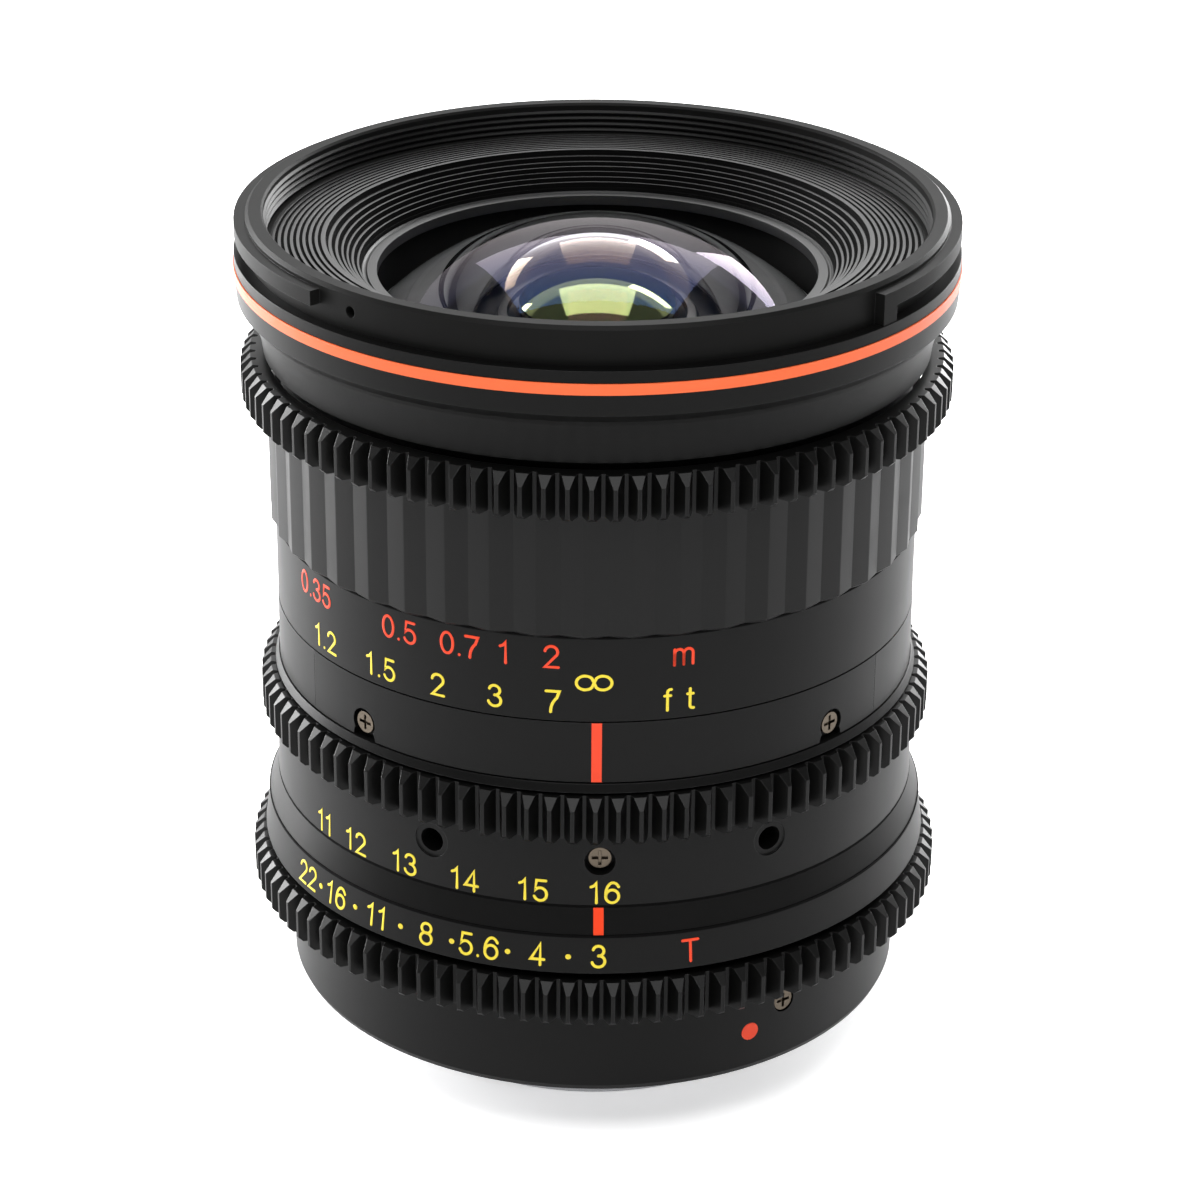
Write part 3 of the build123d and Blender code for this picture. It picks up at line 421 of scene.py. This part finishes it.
def arc(x, y, wide, tall, start, end, steps=18):
    """Points of an elliptical arc in a glyph's own units."""
    return [(x + wide * math.cos(math.radians(start + (end - start) * k / steps)),
             y + tall * math.sin(math.radians(start + (end - start) * k / steps)))
            for k in range(steps + 1)]


def infinity_loop(width, height):
    """Two round loops joined by a small cross."""
    low = height / 2
    left, right = low, width - low
    points = arc(left, low, low, low, 42, 318, 26) + arc(right, low, low, low, 138, -138, 26)
    return points + points[:1]


# Each glyph: its width, then its strokes, with 1 for the height of a digit
GLYPHS = {
    "0": (0.58, [arc(0.29, 0.5, 0.25, 0.5, 90, 450, 36)]),
    "1": (0.46, [[(0.06, 0.79), (0.18, 0.85), (0.27, 1.0), (0.27, 0.0)]]),
    "2": (0.60, [arc(0.29, 0.73, 0.24, 0.27, 172, -38) + [(0.05, 0.0), (0.55, 0.0)]]),
    "3": (0.58, [arc(0.27, 0.765, 0.21, 0.235, 165, -90), arc(0.27, 0.27, 0.25, 0.27, 88, -168)]),
    "4": (0.60, [[(0.55, 0.26), (0.03, 0.26), (0.40, 1.0), (0.40, 0.0)]]),
    "5": (0.58, [[(0.50, 1.0), (0.14, 1.0), (0.08, 0.50)]
                 + arc(0.28, 0.32, 0.25, 0.32, 132, -158)]),
    "6": (0.58, [arc(0.29, 0.32, 0.25, 0.32, 90, 450, 36), arc(0.32, 0.42, 0.28, 0.58, 190, 40)]),
    "7": (0.56, [[(0.03, 1.0), (0.53, 1.0)] + arc(0.80, 0.0, 0.60, 0.86, 128, 180)]),
    "8": (0.58, [arc(0.29, 0.765, 0.21, 0.235, 90, 450, 30),
                 arc(0.29, 0.275, 0.25, 0.275, 90, 450, 32)]),
    ".": (0.20, [[(0.09, 0.03), (0.09, 0.04)]]),
    "m": (0.84, [[(0.05, 0.0), (0.05, 0.74)],
                 [(0.05, 0.0)] + arc(0.23, 0.52, 0.18, 0.22, 180, 0) + [(0.41, 0.0)],
                 [(0.41, 0.0)] + arc(0.59, 0.52, 0.18, 0.22, 180, 0) + [(0.77, 0.0)]]),
    "f": (0.26, [[(0.12, 0.0)] + arc(0.24, 0.86, 0.12, 0.14, 180, 80),
                 [(0.01, 0.70), (0.24, 0.70)]]),
    "t": (0.26, [[(0.10, 0.94)] + arc(0.22, 0.12, 0.12, 0.12, 180, 280),
                 [(0.0, 0.70), (0.22, 0.70)]]),
    "T": (0.66, [[(0.02, 1.0), (0.64, 1.0)], [(0.33, 1.0), (0.33, 0.0)]]),
    "dot": (0.0, [[(0.0, 0.0), (0.0, 0.01)]]),
    "endless": (2.0, [infinity_loop(2.0, 1.0)]),
}
LETTER_GAP = 0.13
WIDENED = 1.16        # digits are a little wider than drawn above
STROKE = 0.33         # width of an engraved stroke
CAP_STEPS = 5         # points on each side of a round end
STROKE_ROWS = 6       # points across a stroke
PAINT_PROUD = 0.030   # how far the paint stands on its ring
PAINT_SUNK = 0.05     # how far it goes in


def stroke_mesh(points, width, place, verts, faces, capped=True):
    """One stroke, round-ended if capped; place turns (along, up, out) into a point on the ring."""
    path = [Vector(p) for p in points]
    ahead = [(b - a).normalized() for a, b in zip(path, path[1:])]
    turns = [ahead[0]] + [(a + b).normalized() for a, b in zip(ahead, ahead[1:])] + [ahead[-1]]
    closed = (path[0] - path[-1]).length < 1e-6 and len(path) > 3
    if closed:
        turns[0] = turns[-1] = (ahead[0] + ahead[-1]).normalized()
    rings = []
    radius = width / 2
    rounded = capped and not closed
    if rounded:
        for k in range(CAP_STEPS):
            t = math.pi / 2 * k / CAP_STEPS
            rings.append((path[0] - turns[0] * radius * math.cos(t), turns[0],
                          radius * math.sin(t)))
    for number, (point, heading) in enumerate(zip(path, turns)):
        before, after = ahead[max(number - 1, 0)], ahead[min(number, len(ahead) - 1)]
        spread = max(heading.dot(before), heading.dot(after), 0.5)
        rings.append((point, heading, radius / spread))
    if rounded:
        for k in range(CAP_STEPS - 1, -1, -1):
            t = math.pi / 2 * k / CAP_STEPS
            rings.append((path[-1] + turns[-1] * radius * math.cos(t), turns[-1],
                          radius * math.sin(t)))
    start = len(verts)
    for point, heading, half in rings:
        side = Vector((-heading.y, heading.x)) * max(half, 0.004)
        for across, out in ((1, -PAINT_SUNK), (1, PAINT_PROUD * 0.4), (0.8, PAINT_PROUD),
                            (-0.8, PAINT_PROUD), (-1, PAINT_PROUD * 0.4), (-1, -PAINT_SUNK)):
            spot = point + side * across
            verts.append(place(spot.x, spot.y, out))
    rows = STROKE_ROWS
    for k in range(len(rings) - 1):
        a, b = start + k * rows, start + (k + 1) * rows
        faces.extend((a + j, a + (j + 1) % rows, b + (j + 1) % rows, b + j) for j in range(rows))
    if not closed:
        faces.append(tuple(start + j for j in range(rows)))
        last = start + (len(rings) - 1) * rows
        faces.append(tuple(last + j for j in reversed(range(rows))))


def mark(name, text, angle, low, high, radius, material, body, slot, low_radius=None,
         stroke=STROKE):
    """Engraved text centred on an angle, between two heights, on a ring that may be tapered."""
    tall = high - low
    glyphs = [text] if text in GLYPHS else list(text)
    width = sum(GLYPHS[g][0] for g in glyphs) + LETTER_GAP * (len(glyphs) - 1)
    base_radius = low_radius or radius
    verts, faces = [], []
    reach = -width / 2
    for g in glyphs:
        glyph_width, strokes = GLYPHS[g]
        for points in strokes:
            scaled = [((x + reach) * tall * WIDENED, y * tall) for x, y in points]

            def place(along, up, out):
                here = base_radius + (radius - base_radius) * up / tall + out
                return polar(here, angle + math.degrees(along / here), low + up)

            stroke_mesh(scaled, stroke, place, verts, faces)
        reach += glyph_width + LETTER_GAP
    return as_object(name, verts, faces, material, body, slot)


def index_line(name, angle, low, high, low_radius, radius, width, body):
    """Painted index line along the axis."""
    verts, faces = [], []

    def place(along, up, out):
        here = low_radius + (radius - low_radius) * up / (high - low) + out
        return polar(here, angle + math.degrees(along / here), low + up)

    stroke_mesh([(0.0, 0.0), (0.0, high - low)], width, place, verts, faces, capped=False)
    return as_object(name, verts, faces, red_mark, body, "signal_red")


# Each scale's figures, with the angles that they stand at
METRES = {"0.35": -57.5, "0.5": -35.2, "0.7": -23.3, "1": -15.2, "2": -7.2, "m": 15.0}
FEET = {"1.2": -54.3, "1.5": -39.5, "2": -27.4, "3": -16.9, "7": -7.0, "f": 12.3, "t": 16.3}
FOCAL_LENGTHS = {"11": -54.6, "12": -45.6, "13": -34.2, "14": -22.3, "15": -10.2, "16": 1.9}
T_STOPS = {"22": -57.2, "16": -48.6, "11": -38.6, "8": -28.5, "5.6": -19.0, "4": -9.0, "3": 1.0}
T_LETTER = 16.1
DIGIT = 2.52           # height of a figure
METRE_ROW = 62.4       # foot of each row on the focus ring
FEET_ROW = 56.95
ENDLESS_ROW = 59.8
ENDLESS_ANGLE = -0.1
ENDLESS_HEIGHT = 1.68
ZOOM_ROW = 0.42        # from the foot of the zoom ring
ZOOM_SCALE_LOW, ZOOM_SCALE_HIGH = 38.34, 38.27    # radii at the foot and the top of its figures
STOP_ROW = -3.6        # from the top of the aperture ring
STOP_SCALE_LOW, STOP_SCALE_HIGH = 40.1, 39.5      # radii at the foot and the top of its taper
STOP_SCALE_HEIGHT = 4.4
STOP_DOT = 0.66        # diameter of a dot between two stops
INDEX_WIDTH = 1.15
INDEX_RING_HIGH = 38.35    # radius at the top of the fixed ring under the zoom ring

scale_radius = radius_of("distance_scale")
for text, angle in METRES.items():
    mark("metre_" + text.replace(".", "_"), text, angle, METRE_ROW, METRE_ROW + DIGIT, scale_radius,
         red_mark, "focus_ring", "signal_red")
for text, angle in FEET.items():
    mark("foot_" + text.replace(".", "_"), text, angle, FEET_ROW, FEET_ROW + DIGIT, scale_radius,
         yellow_mark, "focus_ring", "signal_red")

mark("focus_endless", "endless", ENDLESS_ANGLE, ENDLESS_ROW, ENDLESS_ROW + ENDLESS_HEIGHT,
     scale_radius, yellow_mark, "focus_ring", "signal_red")

zoom_row = low_of("zoom_ring") + ZOOM_ROW
for text, angle in FOCAL_LENGTHS.items():
    mark("zoom_" + text, text, angle, zoom_row, zoom_row + DIGIT, ZOOM_SCALE_HIGH, yellow_mark,
         "zoom_ring", "signal_red", low_radius=ZOOM_SCALE_LOW)

aperture_high = high_of("aperture_ring")
stop_low = aperture_high + STOP_ROW


def stop_radius(level):
    """Radius of the aperture ring's tapered scale at a height."""
    climbed = (level - (aperture_high - STOP_SCALE_HEIGHT)) / STOP_SCALE_HEIGHT
    return STOP_SCALE_LOW - (STOP_SCALE_LOW - STOP_SCALE_HIGH) * climbed


def stop_mark(name, text, angle, material):
    """Engraved text on the aperture ring's taper."""
    mark(name, text, angle, stop_low, stop_low + DIGIT, stop_radius(stop_low + DIGIT), material,
         "aperture_ring", "signal_red", low_radius=stop_radius(stop_low))


for text, angle in T_STOPS.items():
    stop_mark("stop_" + text.replace(".", "_"), text, angle, yellow_mark)
dot_level = stop_low + DIGIT / 2
stop_angles = list(T_STOPS.values())
for number, (first, second) in enumerate(zip(stop_angles, stop_angles[1:])):
    mark(f"stop_dot_{number + 1}", "dot", (first + second) / 2, dot_level - 0.1, dot_level + 0.1,
         stop_radius(dot_level) + 0.02, yellow_mark, "aperture_ring", "signal_red",
         stroke=STOP_DOT)
stop_mark("stop_letter", "T", T_LETTER, red_mark)

plate_radius = radius_of("index_plate")
index_line("focus_index_line", 0.4, low_of("index_plate") + 0.03, high_of("index_plate") - 0.03,
           plate_radius, plate_radius, INDEX_WIDTH, "barrel")
index_line("zoom_index_line", 0.9, low_of("index_ring") + 0.05, high_of("index_ring") - 0.05,
           STOP_SCALE_HIGH, INDEX_RING_HIGH, INDEX_WIDTH, "barrel")


def blacken(piece, inside):
    """Give the blackest finish to the faces where inside(radius, height) is true."""
    piece.data.materials.append(blacking_and_painted_shade)
    for face in piece.data.polygons:
        if inside(face.center.xy.length / MM, face.center.z / MM):
            face.material_index = 1


# Ridged baffle: fine grooves on its flat, then steps down to the glass

BAFFLE_BORE = 25.3
BAFFLE_LIP = 1.6       # height of its edge
BAFFLE_STEP = 2.2      # how far it goes in under the edge
FLAT_GROOVES = 8
FIRST_GROOVE = 0.35    # from the edge
GROOVE_PITCH = 0.70
GROOVE_DEPTH = 0.22
# Outer radius of each ridge, and how far it lies under the flat
RIDGES = ((31.35, 0.00), (30.70, 0.62), (30.00, 1.10), (29.30, 1.50), (28.72, 1.97), (28.18, 2.45),
          (27.55, 2.90))
RIDGE_CUT = 0.62       # how deep the cut behind a ridge goes
FLOOR_EDGE = 27.0      # where the flat floor round the glass starts
FLOOR_DROP = 3.95
FLOOR_GROOVE = 0.18    # depth of the groove in that floor
rim_top = high_of("hood_ring")
baffle_face = high_of("front_baffle")
baffle_edge = radius_of("front_baffle")
baffle_foot = low_of("front_baffle")


def baffle_outline():
    """Outline of the baffle from its edge inwards, then back under it."""
    points = [(baffle_edge, baffle_face - BAFFLE_LIP), (baffle_edge, baffle_face)]
    for number in range(FLAT_GROOVES):
        edge = baffle_edge - FIRST_GROOVE - number * GROOVE_PITCH
        points += [(edge, baffle_face), (edge - 0.10, baffle_face - GROOVE_DEPTH),
                   (edge - 0.26, baffle_face - GROOVE_DEPTH), (edge - 0.36, baffle_face)]
    for (reach, drop), (after, _) in zip(RIDGES, RIDGES[1:] + ((FLOOR_EDGE, 0.0),)):
        width = reach - after
        level = baffle_face - drop
        points += [(reach, level), (reach - 0.45 * width, level),
                   (reach - 0.55 * width, level - RIDGE_CUT), (after + 0.04, level - RIDGE_CUT)]
    level = baffle_face - FLOOR_DROP
    points += [(FLOOR_EDGE, level), (FLOOR_EDGE - 0.05, level),
               (FLOOR_EDGE - 0.25, level - FLOOR_GROOVE), (FLOOR_EDGE - 0.4, level - FLOOR_GROOVE),
               (FLOOR_EDGE - 0.6, level), (BAFFLE_BORE, level), (BAFFLE_BORE, baffle_foot),
               (baffle_edge - BAFFLE_STEP, baffle_foot),
               (baffle_edge - BAFFLE_STEP, baffle_face - BAFFLE_LIP)]
    return points


def ridge_floor(reach):
    """Height under which a face at this radius lies in a groove or a cut."""
    if reach > RIDGES[0][0]:
        return baffle_face - 0.25 * GROOVE_DEPTH
    near = [drop for start, drop in RIDGES if start >= reach - 0.02]
    return baffle_face - near[-1] - 0.12 * RIDGE_CUT


ridged_baffle = turned("ridged_baffle", baffle_outline(), ridge_black, "barrel", "baffle_black",
                       radius=0.04, segments=320)
# Faces down in the grooves and cuts get the blackest finish: painted shade in the recesses
blacken(ridged_baffle, lambda reach, level: reach > FLOOR_EDGE and level < ridge_floor(reach))
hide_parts("front_baffle")


# Gear rings: teeth with narrow lands, chamfered at both ends

GEAR_MODULE = 0.8
TIP_LAND = 0.44        # width of a tooth's flat tip
TOOTH_FOOT = 2.02      # and of its foot
TOP_CHAMFER = 1.15
LOW_CHAMFER = 0.5
GEAR_WALL = 1.2        # behind the foot of the teeth
TOOTH_SMOOTH = 12      # edges of the teeth under this angle are shaded smooth
# Teeth, angle of the first one, and how far the lower and upper ends are moved to the photo's
GEARS = {
    "focus": (101, -0.65, 0.0, -0.60),
    "zoom": (98, 0.26, -0.22, -0.32),
    "aperture": (102, -0.3, -0.4, -0.9),
}
LEVELS = 4             # rows of points up a tooth
ACROSS = 7             # points in a row


def tooth_ring(kind, teeth, phase, low_shift, high_shift):
    """Toothed ring that stands for a gear node."""
    node = kind + "_gear"
    low, high = low_of(node) + low_shift, high_of(node) + high_shift
    tip, root = GEAR_MODULE * (teeth + 2) / 2, GEAR_MODULE * (teeth - 2.5) / 2
    bore = root - GEAR_WALL
    verts, faces = [], []
    for tooth in range(teeth):
        middle = phase + 360 * tooth / teeth
        half_foot = math.degrees(TOOTH_FOOT / 2 / root)
        next_foot = middle + 360 / teeth - half_foot
        for level, reach in ((low, tip - LOW_CHAMFER), (low + LOW_CHAMFER, tip),
                             (high - TOP_CHAMFER, tip), (high, tip - TOP_CHAMFER)):
            drop = (tip - reach) / (tip - root)
            half = math.degrees((TIP_LAND + (TOOTH_FOOT - TIP_LAND) * drop) / 2 / reach)
            verts += [polar(root, middle - half_foot, level), polar(reach, middle - half, level),
                      polar(reach, middle + half, level), polar(root, middle + half_foot, level),
                      polar(root, next_foot, level), polar(bore, middle - half_foot, level),
                      polar(bore, next_foot, level)]
    for tooth in range(teeth):
        here = tooth * LEVELS * ACROSS
        for row in range(LEVELS - 1):
            a, b = here + row * ACROSS, here + (row + 1) * ACROSS
            faces += [(a + k, a + k + 1, b + k + 1, b + k) for k in range(3)]
            faces += [(a + 3, a + 4, b + 4, b + 3), (a + 5, b + 5, b + 6, a + 6)]
        faces += [(here, here + 5, here + 6, here + 4, here + 3, here + 2, here + 1)]
        top = here + (LEVELS - 1) * ACROSS
        faces += [(top, top + 1, top + 2, top + 3, top + 4, top + 6, top + 5)]
    made = as_object(kind + "_teeth", verts, faces, anodised_gear, kind + "_ring", "black_anodised")
    work = bmesh.new()
    work.from_mesh(made.data)
    bmesh.ops.remove_doubles(work, verts=work.verts, dist=1e-6)
    bmesh.ops.recalc_face_normals(work, faces=work.faces)
    work.to_mesh(made.data)
    work.free()
    made.data.set_sharp_from_angle(angle=math.radians(TOOTH_SMOOTH))
    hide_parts(node)


for kind, figures in GEARS.items():
    tooth_ring(kind, *figures)


# Painted shade: thin black rings lying in the joints between the rings

SHADE_RING_HEIGHT = 0.30            # height of a painted-shade ring
WIDE_SHADE_RING = 0.36
SHADE_RING_PROUD = 0.012
SHADE_RING_DEEP = 0.8


def joint_shade(name, level, radius, height=SHADE_RING_HEIGHT):
    """Thin black ring lying in a joint: painted shade in the gap."""
    low, high = level - height / 2, level + height / 2
    turned(name, [(radius - SHADE_RING_DEEP, low), (radius + SHADE_RING_PROUD, low),
                  (radius + SHADE_RING_PROUD, high), (radius - SHADE_RING_DEEP, high)],
           blacking_and_painted_shade, "barrel", "black_inner", radius=0.02)


def joint(lower, upper):
    """Height of the middle of the gap between two nodes."""
    return (high_of(lower) + low_of(upper)) / 2


centre_radius = radius_of("centre_barrel")
joint_shade("aperture_joint_shade", joint("aperture_ring", "index_ring"), 39.56, WIDE_SHADE_RING)
joint_shade("index_joint_shade", joint("index_ring", "zoom_ring"), 38.36, WIDE_SHADE_RING)
joint_shade("centre_joint_shade", joint("zoom_ring", "centre_barrel"), centre_radius)
joint_shade("scale_joint_shade", joint("centre_barrel", "distance_scale"), centre_radius)
joint_shade("grip_joint_shade", low_of("focus_grip") - 0.02, radius_of("distance_scale") + 0.05)


# Filter thread inside the rim

THREAD_PITCH = 0.75
THREAD_DEPTH = 0.34
THREAD_REACH = 38.12
THREAD_TURNS = 4.0
THREAD_STEPS = 144     # points in a turn
THREAD_FOOT = 0.34     # half the width of its ridge at the foot
THREAD_CREST = 0.05    # and at the crest
THREAD_FROM_TOP = 0.45
FADED_DEPTH = 0.02     # what is left of the ridge at its ends
FADE_STEPS = 10


def filter_thread():
    """Ridge of the thread, a helix on the rim's bore that fades out at both ends."""
    verts, faces = [], []
    count = int(THREAD_TURNS * THREAD_STEPS)
    foot = rim_top - THREAD_FROM_TOP - THREAD_PITCH * (THREAD_TURNS + 0.5)
    for step in range(count + 1):
        fade = min(1.0, step / FADE_STEPS, (count - step) / FADE_STEPS)
        depth = FADED_DEPTH + (THREAD_DEPTH - FADED_DEPTH) * fade
        level = foot + THREAD_PITCH * step / THREAD_STEPS
        angle = 360 * step / THREAD_STEPS
        for reach, rise in ((THREAD_REACH, -THREAD_FOOT), (THREAD_REACH - depth, -THREAD_CREST),
                            (THREAD_REACH - depth, THREAD_CREST), (THREAD_REACH, THREAD_FOOT)):
            verts.append(polar(reach, angle, level + rise))
    for step in range(count):
        here, there = step * 4, step * 4 + 4
        faces += [(here + k, here + (k + 1) % 4, there + (k + 1) % 4, there + k) for k in range(4)]
    faces += [(0, 1, 2, 3), (count * 4 + 3, count * 4 + 2, count * 4 + 1, count * 4)]
    as_object("filter_thread", verts, faces, thread_black, "barrel", "black_anodised")


filter_thread()


# Rubber grip: two flat facets to each flute

GRIP_SEAT = 36.65
GRIP_DRAWN_IN = 0.25   # how far its crests lie under the node's
FLUTES = 46
CREST_PHASE = 6.0      # angle of the first crest
FLUTE_DEPTH = 0.46
VALLEY_SHARE = 0.5     # place of the valley between two crests
CREST_ROUND = 0.35     # degrees each side of a crest
GRIP_BEVEL = 0.32
FACET_SMOOTH = 7       # edges of the facets under this angle are shaded smooth
grip_low, grip_high = low_of("focus_grip"), high_of("focus_grip")
grip_reach = radius_of("focus_grip") - GRIP_DRAWN_IN


def fluted_ring():
    """Ring whose outside runs in flats from crest to valley."""
    pitch = 360 / FLUTES
    section = []
    for number in range(FLUTES):
        crest = CREST_PHASE + pitch * number
        valley = crest + pitch * VALLEY_SHARE
        lost = FLUTE_DEPTH * CREST_ROUND / (pitch * VALLEY_SHARE)
        section += [(crest - CREST_ROUND, grip_reach - lost), (crest, grip_reach - lost * 0.45),
                    (crest + CREST_ROUND, grip_reach - lost), (valley, grip_reach - FLUTE_DEPTH)]
    rows = ((GRIP_SEAT, grip_low), (-GRIP_BEVEL, grip_low), (0.0, grip_low + GRIP_BEVEL),
            (0.0, grip_high - GRIP_BEVEL), (-GRIP_BEVEL, grip_high), (GRIP_SEAT, grip_high))
    verts = [polar(reach if reach > 0 else here + reach, angle, level)
             for angle, here in section for reach, level in rows]
    across = len(rows)
    count = len(section)
    faces = [(s * across + k, s * across + (k + 1) % across,
              (s + 1) % count * across + (k + 1) % across, (s + 1) % count * across + k)
             for s in range(count) for k in range(across)]
    ring = as_object("fluted_grip", verts, faces, rubber, "focus_ring", "grip_rubber")
    ring.data.set_sharp_from_angle(angle=math.radians(FACET_SMOOTH))
    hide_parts("focus_grip")


fluted_ring()


# Front glass, with the CAD piece's dome and thickness and a narrower bowl, over an inner lens

FRONT_CURVE = 36.4
BOWL_CURVE = 17.6
BOWL_RADIUS = 15.3
FRONT_THICKNESS = 3.0
GROUND_EDGE = 2.0      # height of the ground edge over the glass's foot
GROUND_FROM = 15.8     # radius outside which the foot is ground and not blacked
INNER_RADIUS = 9.6
# Step round the inner lens, then a black shelf that closes the view under it: painted shade for the
# depth of the lens
LENS_CELL = [(18.2, 84.0), (18.2, 86.0), (12.6, 86.4), (12.2, 87.2), (11.1, 87.2), (11.1, 86.2),
             (10.2, 85.6), (9.6, 84.6), (7.8, 84.6), (7.8, 83.6), (17.0, 83.6)]
PAINTED_SHADE_SHELF = ([(0.0, 83.2), (9.0, 83.2)], [(0.0, 82.5), (9.0, 82.5)])
front_top = high_of("front_element")
front_radius = radius_of("front_element")
bowl = face_curve(BOWL_RADIUS, BOWL_CURVE, front_top - FRONT_THICKNESS)
glass_foot = bowl[-1][1]
front_dome = domed("front_dome", face_curve(front_radius, FRONT_CURVE, front_top),
                   bowl + [(GROUND_FROM, glass_foot), (front_radius, glass_foot)], front_glass,
                   "barrel", "coated_glass")
blacken(front_dome, lambda reach, level: (BOWL_RADIUS < reach < GROUND_FROM
                                          and level < glass_foot + 0.02))
front_dome.data.materials.append(ground_glass)
for face in front_dome.data.polygons:
    if (face.center.xy.length / MM > GROUND_FROM
            and face.center.z / MM < glass_foot + GROUND_EDGE):
        face.material_index = 2
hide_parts("front_element")

inner_lens = domed("inner_lens", face_curve(INNER_RADIUS, 23.0, 90.4),
                   face_curve(INNER_RADIUS, 60.0, 86.2), green_lens, "barrel", "coated_glass")
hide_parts("second_element")
turned("lens_cell", LENS_CELL, ridge_black, "barrel", "black_inner", radius=0.1)
# Black shelf under the inner lens: painted shade where the lens goes deeper
domed("painted_shade_shelf", *PAINTED_SHADE_SHELF, blacking_and_painted_shade, "barrel", "black_inner")


# Floor, camera and light

FLOOR_GLOW = 0.45      # added to the floor as the camera sees it
MIRRORED_GLOW = 0.18   # and as metal and glass mirror it


def pale_floor():
    """Pale floor that keeps the shadow, and glows a little where it is seen."""
    paint = new_paint("pale_floor")
    seen = FLOOR_GLOW * paint.node("ShaderNodeLightPath", output="Is Camera Ray")
    for other in ("Is Glossy Ray", "Is Transmission Ray"):
        seen = seen.math("MAXIMUM", MIRRORED_GLOW * paint.node("ShaderNodeLightPath", output=other))
    cloud = paint.noise(0.002, 1.0)
    colour = paint.mix(cloud, (0.93, 0.93, 0.935), (0.95, 0.95, 0.95))
    glow = paint.mix(seen, (0.0, 0.0, 0.0), (1.0, 1.0, 1.0))
    return paint.finish(paint.surface(Base_Color=colour, Roughness=0.9, Specular_IOR_Level=0.0,
                                      Emission_Color=glow, Emission_Strength=1.0))


bpy.ops.mesh.primitive_circle_add(vertices=96, radius=3.0, fill_type="NGON")
floor = bpy.context.object
floor.name = "floor"
floor.data.materials.append(pale_floor())

CAMERA_RISE = 25.0       # degrees above the horizon
CAMERA_DISTANCE = 429.7  # from the point that it looks at
CAMERA_TARGET = 53.08    # height of that point on the axis
CAMERA_ROLL = 0.405
CAMERA_LENS = 107.7
CAMERA_SHIFT = 0.0039
rise = math.radians(CAMERA_RISE)
roll = math.radians(CAMERA_ROLL)
forward = Vector((0, math.cos(rise), -math.sin(rise)))
right = Vector((1, 0, 0))
up = right.cross(forward)
camera_data = bpy.data.cameras.new("camera")
camera_data.lens = CAMERA_LENS
camera_data.sensor_width = 36.0
camera_data.shift_x = CAMERA_SHIFT
camera_data.clip_start = 0.01
camera = bpy.data.objects.new("camera", camera_data)
bpy.context.scene.collection.objects.link(camera)
tilt = Matrix((right * math.cos(roll) + up * math.sin(roll),
               up * math.cos(roll) - right * math.sin(roll), -forward)).transposed().to_4x4()
spot = Vector((0, 0, CAMERA_TARGET)) - forward * CAMERA_DISTANCE
camera.matrix_world = Matrix.Translation(spot * MM) @ tilt
bpy.context.scene.camera = camera


# Azimuth, elevation, distance, width, height and watts of each lamp
LAMPS = {
    "left_softbox": (-122, 14, 640, 320, 420, 9.0),
    "right_softbox": (148, 14, 640, 300, 420, 4.6),
    "overhead_softbox": (180, 52, 820, 620, 620, 5.0),
    "front_softbox": (0, 64, 820, 640, 420, 5.0),
}
LAMP_AIM = (0, 0, 55)


def softbox(name, azimuth, elevation, distance, wide, tall, power):
    """Area lamp on a sphere round the lens, facing it."""
    lamp = bpy.data.lights.new(name, "AREA")
    lamp.shape = "RECTANGLE"
    lamp.size = wide * MM
    lamp.size_y = tall * MM
    lamp.energy = power
    holder = bpy.data.objects.new(name, lamp)
    bpy.context.scene.collection.objects.link(holder)
    high = math.radians(elevation)
    x, y, _ = polar(distance * math.cos(high), azimuth)
    holder.location = Vector((x, y, distance * math.sin(high))) * MM
    gaze = Vector(LAMP_AIM) * MM - holder.location
    holder.rotation_euler = gaze.to_track_quat("-Z", "Y").to_euler()


for lamp_name, figures in LAMPS.items():
    softbox(lamp_name, *figures)


BACKDROP_TOP = 34.0      # degrees above the horizon
BACKDROP_BLEND = 1.5     # degrees each side of its upper edge
FRONT_LEVEL = 0.30
CEILING_LEVEL = 0.20


def studio_world():
    """White backdrop, dimmer in front, under a dim ceiling; the camera sees white."""
    world = bpy.data.worlds.new("studio")
    bpy.context.scene.world = world
    sky = Paint(world)
    gaze = sky.node("ShaderNodeTexCoord", output="Generated")
    height = sky.node("ShaderNodeSeparateXYZ", None, [gaze], 2)
    behind = sky.node("ShaderNodeSeparateXYZ", None, [gaze], 1)
    above = height.ramp(math.sin(math.radians(BACKDROP_TOP - BACKDROP_BLEND)),
                        math.sin(math.radians(BACKDROP_TOP + BACKDROP_BLEND)))
    wall = FRONT_LEVEL + (1.0 - FRONT_LEVEL) * behind.ramp(-0.25, 0.40)
    level = wall * (1.0 - above) + CEILING_LEVEL * above
    seen = sky.node("ShaderNodeLightPath", output="Is Camera Ray")
    light = sky.node("ShaderNodeBackground", None,
                     {"Color": (1, 1, 1, 1), "Strength": seen.math("MAXIMUM", level)})
    sky.node("ShaderNodeOutputWorld", None, {"Surface": light})


studio_world()

bpy.context.scene.view_settings.view_transform = "Standard"
